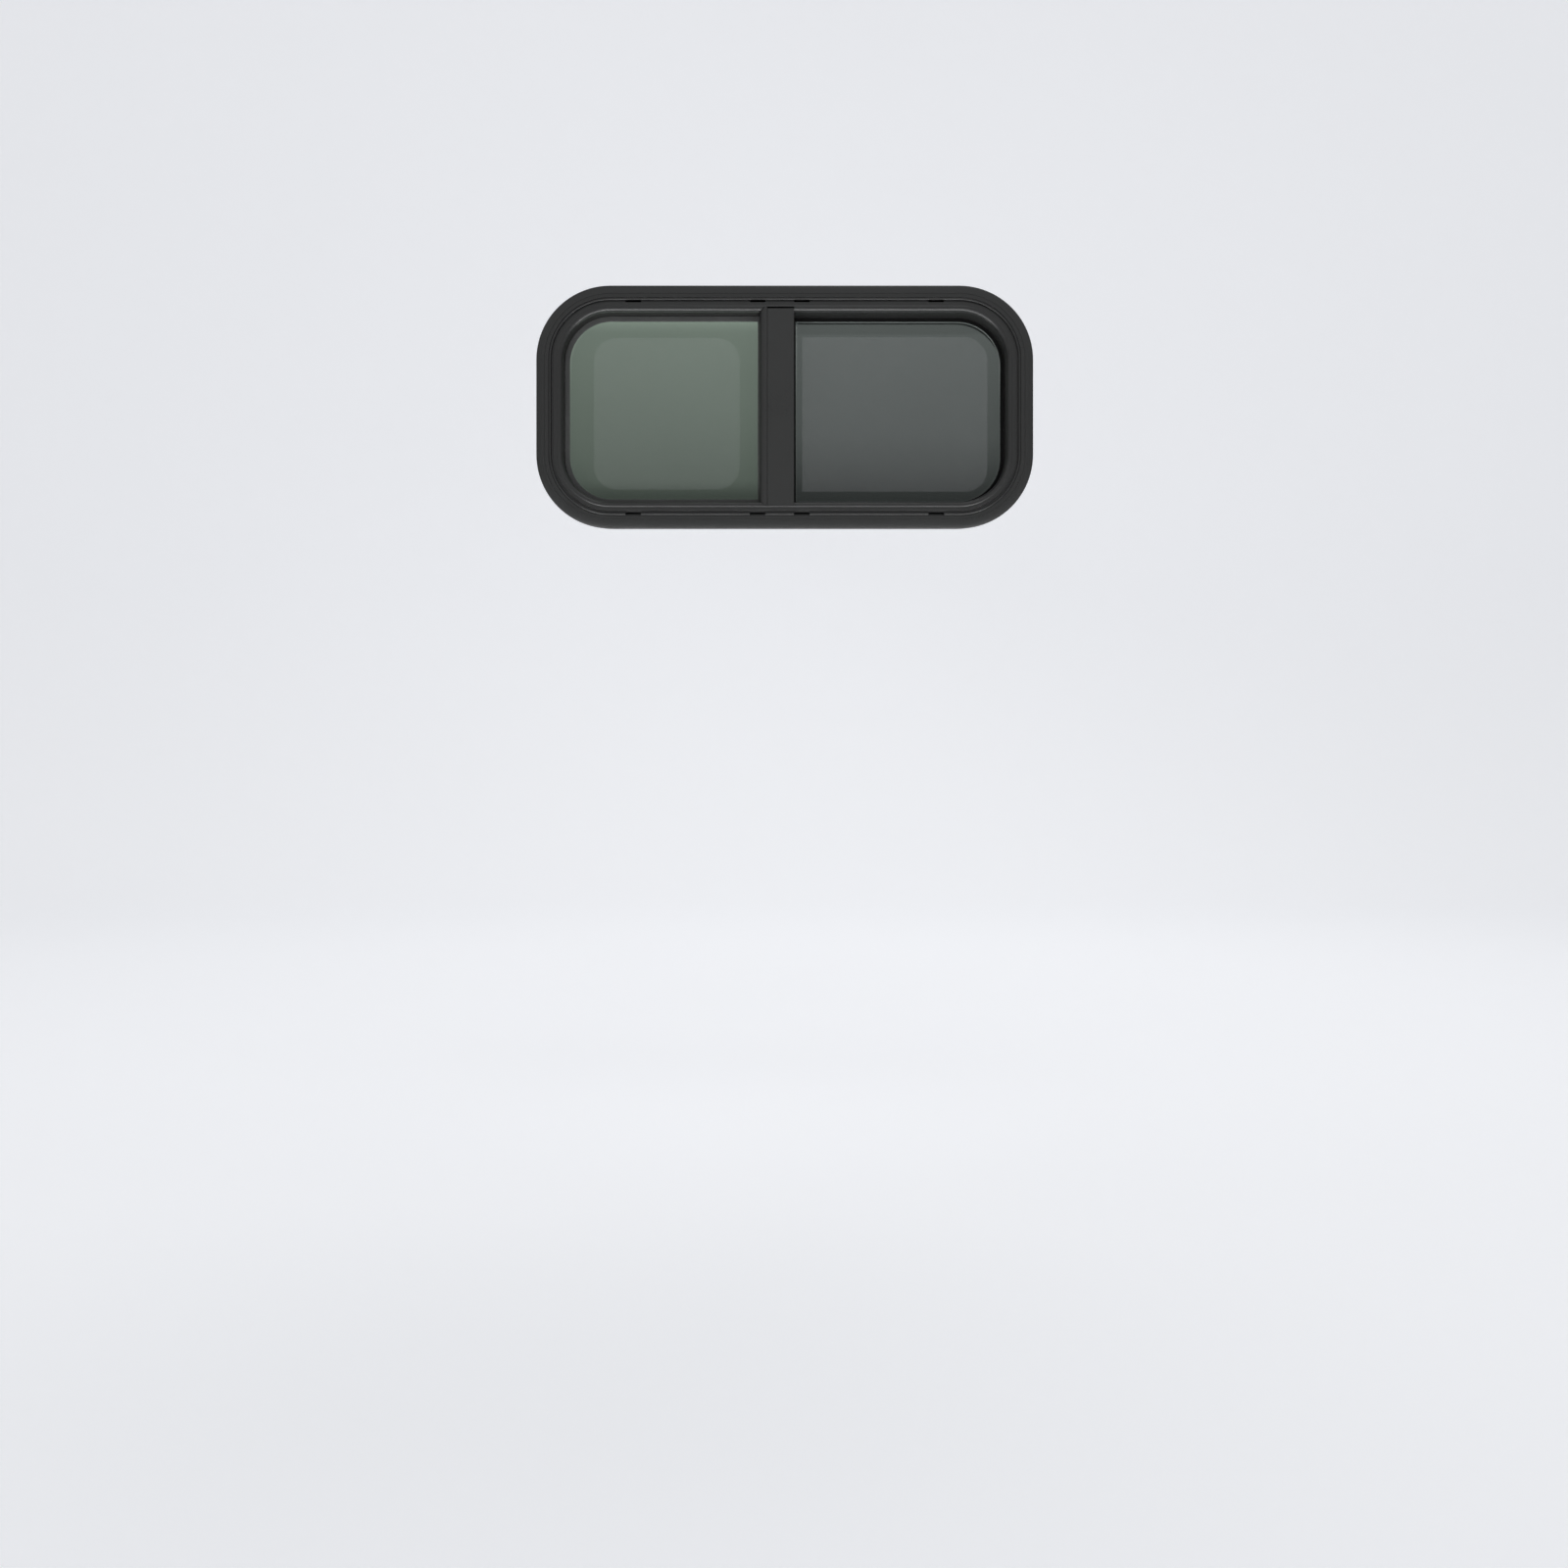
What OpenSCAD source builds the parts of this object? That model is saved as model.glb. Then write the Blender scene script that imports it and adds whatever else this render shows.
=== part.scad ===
// Horizontal sliding caravan window. A bent aluminium frame holds a fixed pane on the left
// and a sliding pane on the right. A clamp ring and an insect screen close it from inside.
// Every piece is drawn in the plane of the wall: X to the right, Y up and Z out of the wall.
// It is then stood up, so that X runs to the right, Y into the wall and Z up.
// The origin is the middle of the lower side of the flange, on its flat back face.

/* [Overall] */
// Width over the flange
width = 900; // [800:10:1200]
// Height over the flange
height = 440; // [400:10:600]
// Outer corner radius of the flange
corner_r = 134; // [125:1:160]
// Thickness of the wall between the flange and the clamp ring
wall_t = 30; // [27:1:45]

/* [Frame section] */
// Width of the flange that lies on the wall
flange_lap = 24; // [22:0.5:28]
// Width of the plain flat band at the outer edge
land_w = 22.5; // [18:0.5:22.5]
// Thickness of the flange at its outer edge
edge_t = 2.4; // [2:0.1:4]
// Width of the thin line between the band and the bead
line_w = 1; // [0.6:0.1:1.5]
// Width of the round bead beside the groove
bead_w = 4; // [3:0.5:5]
// Width of the drain groove
groove_w = 4.5; // [4:0.5:6]
// Width of the flat ring inside the groove
ring_w = 6; // [5:0.5:10]
// Width of the round nose around the panes
nose_w = 10.5; // [8:0.5:14]
// How far the flat ring stands out of the wall
ring_out = 7; // [6:0.5:9]
// How far the crest of the nose stands out past the ring
nose_rise = 1; // [0.5:0.1:2]
// Wall thickness of the extrusion
skin_t = 2.2; // [1.8:0.1:2.6]
// Depth of the frame behind the wall's outer face
body_depth = 36; // [36:1:42]

/* [Weep slots] */
// Length of a weep slot
slot_len = 28.5; // [16:0.5:34]
// Height of a weep slot
slot_h = 4.2; // [3:0.1:5]
// Distance of the outer slots from the middle
slot_far = 274; // [200:1:280]
// Distance of the inner slots from the middle of the mullion
slot_near = 40; // [30:1:60]

/* [Mullion] */
// Width of the flat face
mullion_w = 48; // [36:1:60]
// Distance of its middle from the middle of the window
mullion_x = -7; // [-40:0.5:40]
// Wall thickness of the mullion
mullion_t = 2.4; // [1.8:0.1:3]
// Width of the bead on its fixed side
mullion_bead_w = 15; // [12:0.5:20]

/* [Panes] */
// Glass thickness of both panes
glass_t = 4; // [3:0.5:5]
// Distance from the flat ring back to the fixed glass
fixed_setback = 26; // [25:0.5:26]
// Space between the two glasses
pane_gap = 5; // [5:0.5:6]
// Width of the gasket lip on the fixed glass
gasket_lip = 9; // [6:0.5:11]
// Thickness of the gasket lips
gasket_t = 2.2; // [1.6:0.1:2.4]
// Width of the run and seal lips on the sliding glass
run_lip = 6; // [4:0.5:9]
// Thickness of the run walls
run_t = 1.4; // [1:0.1:1.6]

/* [Sash] */
// Width of the meeting stile
stile_w = 40; // [30:1:46]
// Thickness of the meeting stile
stile_t = 9.8; // [9:0.1:10]
// Length of the finger pull
pull_len = 120; // [80:5:140]
// Height of the finger pull over the stile
pull_h = 7.6; // [5:0.1:8]
// Length of the latch body
latch_len = 62; // [50:1:80]
// Diameter of the latch bolt
bolt_d = 5; // [4:0.5:6]

/* [Clamp ring] */
// Distance of its outer edge from the flange's outer edge
clamp_in = 8; // [4:0.5:12]
// Distance of its opening from the flange's outer edge
clear_in = 76; // [74:1:90]
// Corner radius of its opening
clear_r = 42; // [30:1:50]
// Height of its face over the back of the frame
clamp_rise = 7.2; // [6:0.1:14]
// Sheet thickness
clamp_t = 2.2; // [1.5:0.1:3]
// Width of the sunk channel for the screws
channel_w = 14; // [12:0.5:16]
// Depth of the sunk channel
channel_d = 1.5; // [1:0.1:2]
// Shank diameter of the screws
screw_d = 4.2; // [3.5:0.1:4.8]
// Spacing of the screws along the long sides
screw_pitch = 150; // [120:5:150]
// Extra width of the liner on the left
pocket_w = 22; // [10:1:40]
// Width of the liner's two long arms
arm_w = 4; // [3:0.5:8]

/* [Insect screen] */
// Thickness of the screen's frame
screen_t = 7; // [5:0.5:9]
// Width of the screen's frame
screen_w = 14; // [12:0.5:18]
// Thickness of the screen's rails
rail_t = 1.4; // [1:0.1:2]
// Thickness of the mesh
mesh_t = 0.6; // [0.4:0.1:1]
// Width of the spline that holds the mesh
spline_w = 3.6; // [3:0.1:5]

/* [Hidden] */
$fn = 96;

// Seating clearance between pieces that are pushed together
fit = 0.1;
// Clearance beside a piece that slides
slide_fit = 0.6;
// Space between the mullion's back and the sash
mullion_clear = 1;
// Overlap that makes two shapes of one piece join
join = 0.5;
// Cutting tools reach this far past what they cut
past = 1;

// Distances from the flange's outer edge, going in
bead_in = land_w + line_w;
groove_in = bead_in + bead_w;
ring_in = groove_in + groove_w;
nose_in = ring_in + ring_w;
reveal_in = nose_in + nose_w;
// The mullion is let into the nose up to here
notch_in = nose_in + 2;

// Levels, measured out of the wall's outer face
nose_foot = -1;
groove_floor = 2.8;
notch_z = 2.6;
chamber_top = 1.6;
fixed_front = ring_out - fixed_setback;
fixed_back = fixed_front - glass_t;
gasket_back_t = 1.5;
slide_front = fixed_back - pane_gap;
slide_back = slide_front - glass_t;
stile_back = slide_front - glass_t / 2 - stile_t / 2 + 0.1;
stile_front = stile_back + stile_t;
mullion_back = stile_front + mullion_clear;
wall_back = -wall_t;
// The clamp ring and the liner clear the deepest of the frame, the sash and the wall
sash_depth = max(body_depth, -stile_back);
clamp_face = -max(sash_depth, wall_t) - clamp_rise;
clamp_under = clamp_face + clamp_t;
liner_front = -sash_depth - slide_fit;
screen_front = clamp_face - rail_t - slide_fit / 2;
screen_back = screen_front - screen_t;
rail_face = screen_back - slide_fit / 2 - rail_t;

// Recess for the butyl strip, and the bare strip of flange beside it that holds the origin
seal_in = 3;
seal_w = 10;
seal_t = 1.2;
face_in = (seal_in + seal_w + flange_lap) / 2;

// Glass edges and pane limits
glass_in = reveal_in + 2.2;
mitre_w = 5;
bead_flat = 4;
bead_foot = nose_foot - 2;
top_joint = 3;
// A narrow open joint runs between the mullion's face and its bead
side_joint_w = 0.9;
side_joint_t = 3;
mullion_l = mullion_x - mullion_w / 2;
mullion_r = mullion_x + mullion_w / 2;
fixed_r = mullion_l - 5.4;
stile_l = mullion_l + 3;
stile_r = stile_l + stile_w;
slide_l = stile_l + 7;
half_w = width / 2;
half_h = height / 2;
corner_x = half_w - corner_r;
corner_y = half_h - corner_r;

// Screw line of the clamp ring and the screws themselves
channel_in = flange_lap + 5;
screw_in = channel_in + channel_w / 2;
screw_clear = 0.3;
leg_gap = 8;
head_d = 8.4;
head_h = 2.4;
boss_d = 8;
screw_reach = 6;

// Places of the glides, in from the stile and from the round end
glide_len = 24;
glide_from_stile = 20;
glide_from_end = 40;

// Latch and pull
latch_w = 20;
latch_x = (stile_l + stile_r) / 2;
latch_gap = 5.5;
latch_low = -half_h + clear_in + latch_gap;
bolt_z = stile_back - pull_h / 2 - 0.4;
keeper_t = 3;
pull_w = 20;
pull_y = 36;
pull_plate_t = 2;
pull_ridge_w = 6;
pull_screw_d = 3.2;
pull_hole_y = pull_len / 2 - pull_w / 2;
pull_head_h = 1.8;
window_w = 12;
window_l = 26;
window_from_top = 12;
knob_w = 11.2;
knob_l = 14;
knob_low = 2;
bolt_blind = 14;
bolt_short = 4;
bolt_reach = 9;
keeper_w = 26;

// Insect screen
screen_in = clear_in - screen_w - 2;
screen_inner_r = clear_r + 2;
screen_l = mullion_r + 1.5;
groove_back = 3.6;
groove_side = 5;
rail_in = screen_in - slide_fit - rail_t;
rail_lip = 6;
rail_flange = 9;
rivet_d = 5;
rivet_h = 1.1;
rivet_from_edge = 4;
rivet_from_end = 20;
tab_h = 30;
tab_w = 4.6;
tab_t = 4;
tab_in = 0.4;

frame_c = [0.2, 0.2, 0.21];
rubber_c = [0.05, 0.05, 0.05];
glass_c = [0.42, 0.48, 0.44, 0.6];
dark_glass_c = [0.32, 0.34, 0.34, 0.6];
inner_c = [0.14, 0.14, 0.15];
metal_c = [0.62, 0.63, 0.65];

// Stands a piece up from the drawing plane and puts the origin on the lower flange
module stand() {
    translate([0, 0, half_h - face_in]) rotate([90, 0, 0]) children();
}

// Rounded rectangle whose sides lie d inside the flange's outer edge
module outline(d, r) {
    w = width - 2 * d;
    h = height - 2 * d;
    union() {
        square([w - 2 * r, h], center = true);
        square([w, h - 2 * r], center = true);
        for (x = [-1, 1], y = [-1, 1]) translate([x * (w / 2 - r), y * (h / 2 - r)]) circle(r);
    }
}

// Flat ring between two distances from the outer edge, between two levels
module band(d0, d1, z0, z1) {
    translate([0, 0, z0]) linear_extrude(z1 - z0) difference() {
        outline(d0, corner_r - d0);
        outline(d1, corner_r - d1);
    }
}

// A section, given as [distance in, level] points, run along one straight side
module side_run(section, side_half, len) {
    linear_extrude(len, center = true) polygon([for (p = section) [side_half - p[0], p[1]]]);
}

// The same section turned through one corner
module corner_run(section) {
    rotate_extrude(angle = 90) polygon([for (p = section) [corner_r - p[0], p[1]]]);
}

// The same section all the way round
module full_run(section) {
    for (s = [0, 1]) {
        mirror([0, s, 0]) rotate([90, 0, 90]) side_run(section, half_h, 2 * corner_x);
        mirror([s, 0, 0]) rotate([90, 0, 0]) side_run(section, half_w, 2 * corner_y);
        for (t = [0, 1]) {
            mirror([s, 0, 0]) mirror([0, t, 0]) translate([corner_x, corner_y, 0]) corner_run(section);
        }
    }
}

// Slot with round ends, drawn along X
module slot_2d(len, h) {
    union() {
        square([len - h, h], center = true);
        for (x = [-1, 1]) translate([x * (len - h) / 2, 0]) circle(d = h);
    }
}

// Pane outline from x0 to x1 whose corners are round on one side only
module pane_2d(x0, x1, d, r) {
    h = half_h - d;
    union() {
        translate([x0, -h + r]) square([x1 - x0, 2 * (h - r)]);
        translate([x0, -h]) square([x1 - x0 - r, 2 * h]);
        for (y = [-1, 1]) translate([x1 - r, y * (h - r)]) circle(r);
    }
}

// Box between two corners
module block(low, high) {
    translate(low) cube(high - low);
}

// Screw with a pan head and a crossed recess, head upwards, shank down from the origin
module pan_screw(d, head, rise, len) {
    recess = head * 0.55;
    slit = head * 0.14;
    difference() {
        union() {
            cylinder(d = head, h = rise * 0.6);
            translate([0, 0, rise * 0.6]) cylinder(d1 = head, d2 = head * 0.62, h = rise * 0.4);
            translate([0, 0, -len]) cylinder(d = d, h = len + join);
        }
        for (a = [0, 90]) rotate([0, 0, a]) {
            translate([-recess / 2, -slit / 2, rise * 0.4]) cube([recess, slit, rise]);
        }
    }
}

// Points along an arc, from angle a0 to a1
function arc(cx, cy, rx, ry, a0, a1, n) =
    [for (i = [0:n]) let(a = a0 + (a1 - a0) * i / n) [cx + rx * cos(a), cy + ry * sin(a)]];

// The face of the flange: it rises fast at its outer edge and then runs almost flat
dome_n = 8;
dome_spread = 1.6;
dome_power = 3;
dome_edge = 0.8;
dome_rise = ring_out - 1.4 - edge_t;
dome_all = [for (i = [0:dome_n]) let(u = pow(i / dome_n, dome_spread))
    [dome_edge + (land_w - dome_edge) * u, edge_t + dome_rise * (1 - pow(1 - u, dome_power))]];
// A fine line is sunk into the face, near the bead
rim_line_in = land_w - 7.5;
rim_line_w = 1.2;
rim_line_t = 0.5;
rim_line_side = 0.2;
land_z = edge_t + dome_rise;
rim_line = [
    [rim_line_in, land_z], [rim_line_in + rim_line_side, land_z - rim_line_t],
    [rim_line_in + rim_line_w - rim_line_side, land_z - rim_line_t], [rim_line_in + rim_line_w, land_z]
];
dome_points = concat(
    [for (p = dome_all) if (p[0] < rim_line_in - join) p],
    rim_line,
    [[land_w, land_z]]
);
bead_points = arc(bead_in + bead_w / 2, ring_out - 2.2, bead_w / 2, 1.8, 180, 0, 10);
nose_top = ring_out + nose_rise;
nose_out_w = nose_w * 0.25;
nose_points = concat(
    [for (i = [1:5]) let(u = i / 5) [nose_in + nose_out_w * u, ring_out + nose_rise * sin(90 * u)]],
    arc(nose_in + nose_out_w, nose_foot, nose_w - nose_out_w, nose_top - nose_foot, 84, 0, 14)
);

frame_front = concat(
    [[0, 0], [0, edge_t - dome_edge]],
    dome_points,
    [[land_w + 0.2, ring_out - 2.6], [bead_in - 0.2, ring_out - 2.6]],
    bead_points,
    [[groove_in + 0.2, groove_floor], [ring_in - 0.4, groove_floor]],
    [[ring_in, ring_out - 0.4], [ring_in + 0.5, ring_out], [nose_in, ring_out]],
    nose_points
);
frame_section = concat(
    frame_front,
    [[reveal_in, -body_depth], [flange_lap, -body_depth], [flange_lap, 0]]
);
chamber_section = [
    [flange_lap + skin_t, -body_depth + skin_t], [flange_lap + skin_t, chamber_top],
    [nose_in, chamber_top], [nose_in + 2, ring_out - skin_t], [reveal_in - skin_t - 3.6, ring_out - skin_t],
    [reveal_in - skin_t, nose_foot], [reveal_in - skin_t, -body_depth + skin_t]
];

// The slots as [x, y]: the upper ones lie in the groove, the lower ones also cut its bead, to drain
slot_shift = -2;
slot_top = half_h - groove_in - groove_w / 2 + 0.7;
slot_low = -half_h + groove_in + groove_w / 2 - 2.85;
slot_mid = mullion_x + slot_shift;
function slot_places() = [
    for (x = [-slot_far, slot_mid - slot_near, slot_mid + slot_near, slot_far], y = [slot_top, slot_low]) [x, y]
];

// Every screw of the clamp ring, as [x, y]
row_count = floor(corner_x * 2 / screw_pitch);
corner_step = (corner_r - screw_in) * cos(45);
function screw_places() = concat(
    [for (i = [0:row_count], s = [-1, 1]) [(i - row_count / 2) * screw_pitch, s * (half_h - screw_in)]],
    [for (s = [-1, 1], t = [-1, 1]) [s * (corner_x + corner_step), t * (corner_y + corner_step)]],
    [for (s = [-1, 1]) [s * (half_w - screw_in), 0]]
);

// Room that the mullion and its bead take out of the nose at both ends
module notch(grow) {
    y0 = half_h - reveal_in - past;
    y1 = half_h - notch_in + grow;
    x0 = mullion_l - mullion_bead_w - grow;
    x1 = mullion_r + grow;
    for (s = [0, 1]) mirror([0, s, 0]) translate([0, 0, notch_z - grow]) linear_extrude(ring_out + past) {
        polygon([[x0, y0], [x0, y0 + past], [mullion_l - mitre_w - grow, y1], [x1, y1], [x1, y0]]);
    }
}

module main_frame() {
    color(frame_c) difference() {
        full_run(frame_section);
        full_run(chamber_section);
        band(seal_in, seal_in + seal_w, -past, seal_t);
        notch(fit);
        for (p = slot_places()) translate([p[0], p[1], chamber_top - past]) {
            linear_extrude(ring_out + past) slot_2d(slot_len, slot_h);
        }
        for (p = screw_places()) translate([p[0], p[1], -body_depth - past]) {
            cylinder(d = screw_d + fit, h = skin_t + 2 * past);
        }
    }
}

// Butyl strip in a shallow recess of the flange's back
module flange_seal() {
    color(rubber_c) band(seal_in + fit, seal_in + seal_w - fit, 0, seal_t);
}

module mullion() {
    top = half_h - notch_in - top_joint;
    low = -half_h + notch_in;
    reach = half_h - reveal_in - fit;
    color(frame_c) union() {
        block([mullion_l, low, notch_z], [mullion_r, top, ring_out]);
        block([mullion_l, -reach, fixed_back - gasket_back_t], [mullion_l + mullion_t, reach, notch_z + join]);
        block([mullion_r - mullion_t, -reach, mullion_back], [mullion_r, reach, notch_z + join]);
        block([mullion_r - 3 * mullion_t, -reach, mullion_back], [mullion_r, reach, mullion_back + mullion_t]);
    }
}

// Rubber that fills the joint over the mullion's upper end
module mullion_top_seal() {
    top = half_h - notch_in;
    color(rubber_c) block([mullion_l, top - top_joint, notch_z], [mullion_r, top, ring_out - 2.6]);
}

bead_section = concat(
    [[mullion_l, fixed_front + gasket_t], [mullion_l, ring_out - side_joint_t],
        [mullion_l - side_joint_w, ring_out - side_joint_t], [mullion_l - side_joint_w, ring_out],
        [mullion_l - bead_flat, ring_out]],
    [for (i = [1:8]) let(a = 90 * i / 8)
        [mullion_l - bead_flat - (mullion_bead_w - bead_flat - 1) * sin(a), ring_out - (ring_out - nose_foot) * (1 - cos(a))]],
    [[mullion_l - mullion_bead_w, bead_foot], [mullion_l - mullion_bead_w, fixed_front + gasket_t]]
);
module mullion_bead() {
    reach = half_h - reveal_in - fit;
    color(frame_c) intersection() {
        rotate([90, 0, 0]) linear_extrude(height, center = true) polygon(bead_section);
        union() {
            block([-half_w, -reach, -body_depth], [half_w, reach, ring_out + past]);
            notch(0);
        }
    }
}

// Mirrored pane outline, round corners on the left
module left_pane_2d(x0, x1, d, r) {
    mirror([1, 0, 0]) pane_2d(-x1, -x0, d, r);
}

module fixed_glass() {
    color(glass_c) translate([0, 0, fixed_back]) linear_extrude(glass_t) {
        left_pane_2d(-half_w + glass_in, fixed_r, glass_in, corner_r - glass_in);
    }
}

module fixed_gasket() {
    outer = reveal_in + fit;
    lip = reveal_in + gasket_lip;
    back_lip = reveal_in + gasket_lip * 0.6;
    right = mullion_l - fit;
    right_lip = mullion_l - mullion_bead_w - 1.6;
    color(rubber_c) union() {
        translate([0, 0, fixed_front]) linear_extrude(gasket_t) difference() {
            left_pane_2d(-half_w + outer, right, outer, corner_r - outer);
            left_pane_2d(-half_w + lip, right_lip, lip, corner_r - lip);
        }
        translate([0, 0, fixed_back - join]) linear_extrude(glass_t + 2 * join) difference() {
            left_pane_2d(-half_w + outer, right, outer, corner_r - outer);
            left_pane_2d(-half_w + glass_in, fixed_r, glass_in, corner_r - glass_in);
        }
        translate([0, 0, fixed_back - gasket_back_t]) linear_extrude(gasket_back_t) difference() {
            left_pane_2d(-half_w + outer, right, outer, corner_r - outer);
            left_pane_2d(-half_w + back_lip, right_lip + 4, back_lip, corner_r - back_lip);
        }
    }
}

module sliding_glass() {
    color(dark_glass_c) translate([0, 0, slide_back]) linear_extrude(glass_t) {
        pane_2d(slide_l, half_w - glass_in, glass_in, corner_r - glass_in);
    }
}

// The stile grips the sliding glass in a slot and stops short of the runs
stile_in = reveal_in + run_lip + 1;
module meeting_stile() {
    y1 = half_h - stile_in;
    lip = 2;
    color(inner_c) difference() {
        block([stile_l, -y1, stile_back], [stile_r, y1, stile_front]);
        block([slide_l, -y1 - past, slide_back], [stile_r + past, y1 + past, slide_front]);
        block([stile_l - past, -y1 - past, stile_back - past], [stile_l + lip, y1 + past, stile_back + lip]);
        block([stile_r - lip, -y1 - past, stile_back - past], [stile_r + past, y1 + past, stile_back + 0.6]);
    }
}

// Pile strip between the mullion and the sliding glass; it shows beside the mullion
module meeting_pile() {
    y1 = half_h - stile_in;
    pile_w = 6;
    pile_r = mullion_r + 3;
    color(rubber_c) block([pile_r - pile_w, -y1, slide_front + fit], [pile_r, y1, mullion_back]);
}

// Channel section for the sliding glass, as [distance in, level]
function run_section(base) = [
    [reveal_in + fit, slide_front + run_t], [reveal_in + run_lip, slide_front + run_t],
    [reveal_in + run_lip, slide_front + fit], [reveal_in + base, slide_front + fit],
    [reveal_in + base, slide_back - fit], [reveal_in + run_lip, slide_back - fit],
    [reveal_in + run_lip, slide_back - run_t], [reveal_in + fit, slide_back - run_t]
];
run_base = 1.2;

module top_run() {
    color(rubber_c) rotate([90, 0, 90]) side_run(run_section(run_base), half_h, 2 * corner_x);
}

module bottom_run() {
    color(rubber_c) mirror([0, 1, 0]) rotate([90, 0, 90]) {
        side_run(run_section(run_base), half_h, 2 * corner_x);
    }
}

// Seal that grips the round end of the sliding glass
module jamb_seal() {
    section = run_section(run_base);
    color(rubber_c) union() {
        rotate([90, 0, 0]) side_run(section, half_w, 2 * corner_y);
        for (t = [0, 1]) mirror([0, t, 0]) translate([corner_x, corner_y, 0]) corner_run(section);
    }
}

// Nylon blocks under the sliding glass, in the bottom run
module sash_glides() {
    glide_low = -half_h + reveal_in + run_base;
    glide_top = -half_h + glass_in;
    color(metal_c) for (x = [stile_r + glide_from_stile, corner_x - glide_from_end]) {
        block([x, glide_low, slide_back], [x + glide_len, glide_top, slide_front]);
    }
}

// Rubber stops at the left end of both runs
module stop_bumpers() {
    stop_len = 9;
    color(rubber_c) for (s = [0, 1]) mirror([0, s, 0]) {
        block([-corner_x, half_h - reveal_in - run_lip, slide_back],
            [-corner_x + stop_len, half_h - reveal_in - run_base, slide_front]);
    }
}

// Opening of the clamp ring as an outline, d further in than its own edge
module clear_2d(d, r) {
    outline(clear_in + d, r);
}

// Liner of the pocket that the sash slides into
module pocket_liner() {
    liner_t = 3;
    post_w = 48;
    right = mullion_l - 4;
    color(inner_c) translate([0, 0, liner_front - liner_t]) linear_extrude(liner_t) difference() {
        intersection() {
            clear_2d(fit, clear_r - fit);
            translate([-half_w, -half_h]) square([right + half_w, height]);
        }
        intersection() {
            left_pane_2d(-half_w + clear_in + pocket_w, right - post_w, clear_in + arm_w, clear_r);
            pane_2d(-half_w + clear_in + pocket_w, right - post_w, clear_in + arm_w, clear_r);
        }
    }
}

module clamp_ring() {
    plate_in = screw_in + channel_w;
    plate_r = corner_r - plate_in;
    leg_in = clamp_in + leg_gap;
    channel_face = clamp_face + channel_d;
    lip_high = liner_front;
    color(inner_c) difference() {
        union() {
            band(clamp_in, clamp_in + clamp_t, clamp_under - join, wall_back);
            band(leg_in, leg_in + clamp_t, clamp_under - join, wall_back);
            band(clamp_in, channel_in, clamp_face, clamp_under);
            band(channel_in - clamp_t, channel_in + channel_w + clamp_t, channel_face, channel_face + clamp_t);
            band(channel_in + channel_w, plate_in, clamp_face, clamp_under);
            translate([0, 0, clamp_face]) linear_extrude(clamp_t) difference() {
                outline(plate_in - join, plate_r + join);
                clear_2d(0, clear_r);
            }
            translate([0, 0, clamp_face]) linear_extrude(lip_high - clamp_face) difference() {
                clear_2d(-clamp_t, clear_r + clamp_t);
                clear_2d(0, clear_r);
            }
            for (p = screw_places()) translate([p[0], p[1], channel_face]) {
                cylinder(d = boss_d, h = -body_depth - fit - channel_face);
            }
        }
        for (p = screw_places()) translate([p[0], p[1], clamp_face - past]) {
            cylinder(d = screw_d + 2 * screw_clear, h = -clamp_face);
        }
        translate([latch_x, -half_h + clear_in - clamp_t - past, bolt_z]) rotate([-90, 0, 0]) {
            cylinder(d = bolt_d + 2 * screw_clear, h = clamp_t + 2 * past);
        }
    }
}

module clamp_screws() {
    channel_face = clamp_face + channel_d;
    shank = -body_depth - channel_face + screw_reach;
    color(metal_c) for (p = screw_places()) {
        translate([p[0], p[1], channel_face]) mirror([0, 0, 1]) pan_screw(screw_d, head_d, head_h, shank);
    }
}

// Finger pull on the inner face of the stile: a plate with a raised ridge
module finger_pull() {
    ridge_len = pull_len - 2 * pull_w;
    face = stile_back - pull_plate_t;
    color(inner_c) difference() {
        union() {
            translate([latch_x, pull_y, face]) linear_extrude(pull_plate_t) {
                rotate([0, 0, 90]) slot_2d(pull_len, pull_w);
            }
            translate([latch_x, pull_y, stile_back - pull_h]) linear_extrude(pull_h) {
                rotate([0, 0, 90]) slot_2d(ridge_len, pull_ridge_w);
            }
        }
        for (s = [-1, 1]) translate([latch_x, pull_y + s * pull_hole_y, face - past]) {
            cylinder(d = pull_screw_d + 2 * fit, h = pull_plate_t + 2 * past);
        }
    }
}

module pull_screws() {
    color(metal_c) for (s = [-1, 1]) {
        translate([latch_x, pull_y + s * pull_hole_y, stile_back - pull_plate_t]) {
            mirror([0, 0, 1]) pan_screw(pull_screw_d, pull_screw_d * 2, pull_head_h, pull_plate_t);
        }
    }
}

// Latch housing low on the stile, with a window for the knob and a bore for the bolt
module latch_body() {
    x0 = latch_x - latch_w / 2;
    y1 = latch_low + latch_len;
    color(inner_c) difference() {
        block([x0, latch_low, stile_back - pull_h], [x0 + latch_w, y1, stile_back]);
        block([latch_x - window_w / 2, y1 - window_from_top - window_l, stile_back - pull_h - past],
            [latch_x + window_w / 2, y1 - window_from_top, bolt_z + bolt_d / 2 + fit]);
        translate([latch_x, latch_low - past, bolt_z]) rotate([-90, 0, 0]) {
            cylinder(d = bolt_d + 2 * fit, h = latch_len - bolt_blind);
        }
    }
}

module latch_knob() {
    y0 = latch_low + latch_len - window_from_top - window_l + knob_low;
    slit_n = 5;
    slit_gap = 2.4;
    face = stile_back - pull_h - 0.6;
    color(metal_c) difference() {
        block([latch_x - knob_w / 2, y0, face], [latch_x + knob_w / 2, y0 + knob_l, bolt_z - bolt_d / 2 - fit]);
        for (i = [0:slit_n - 1]) translate([latch_x - knob_w, y0 + (i + 1) * slit_gap - 0.4, face - past]) {
            cube([2 * knob_w, 0.8, past + 0.5]);
        }
    }
}

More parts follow.
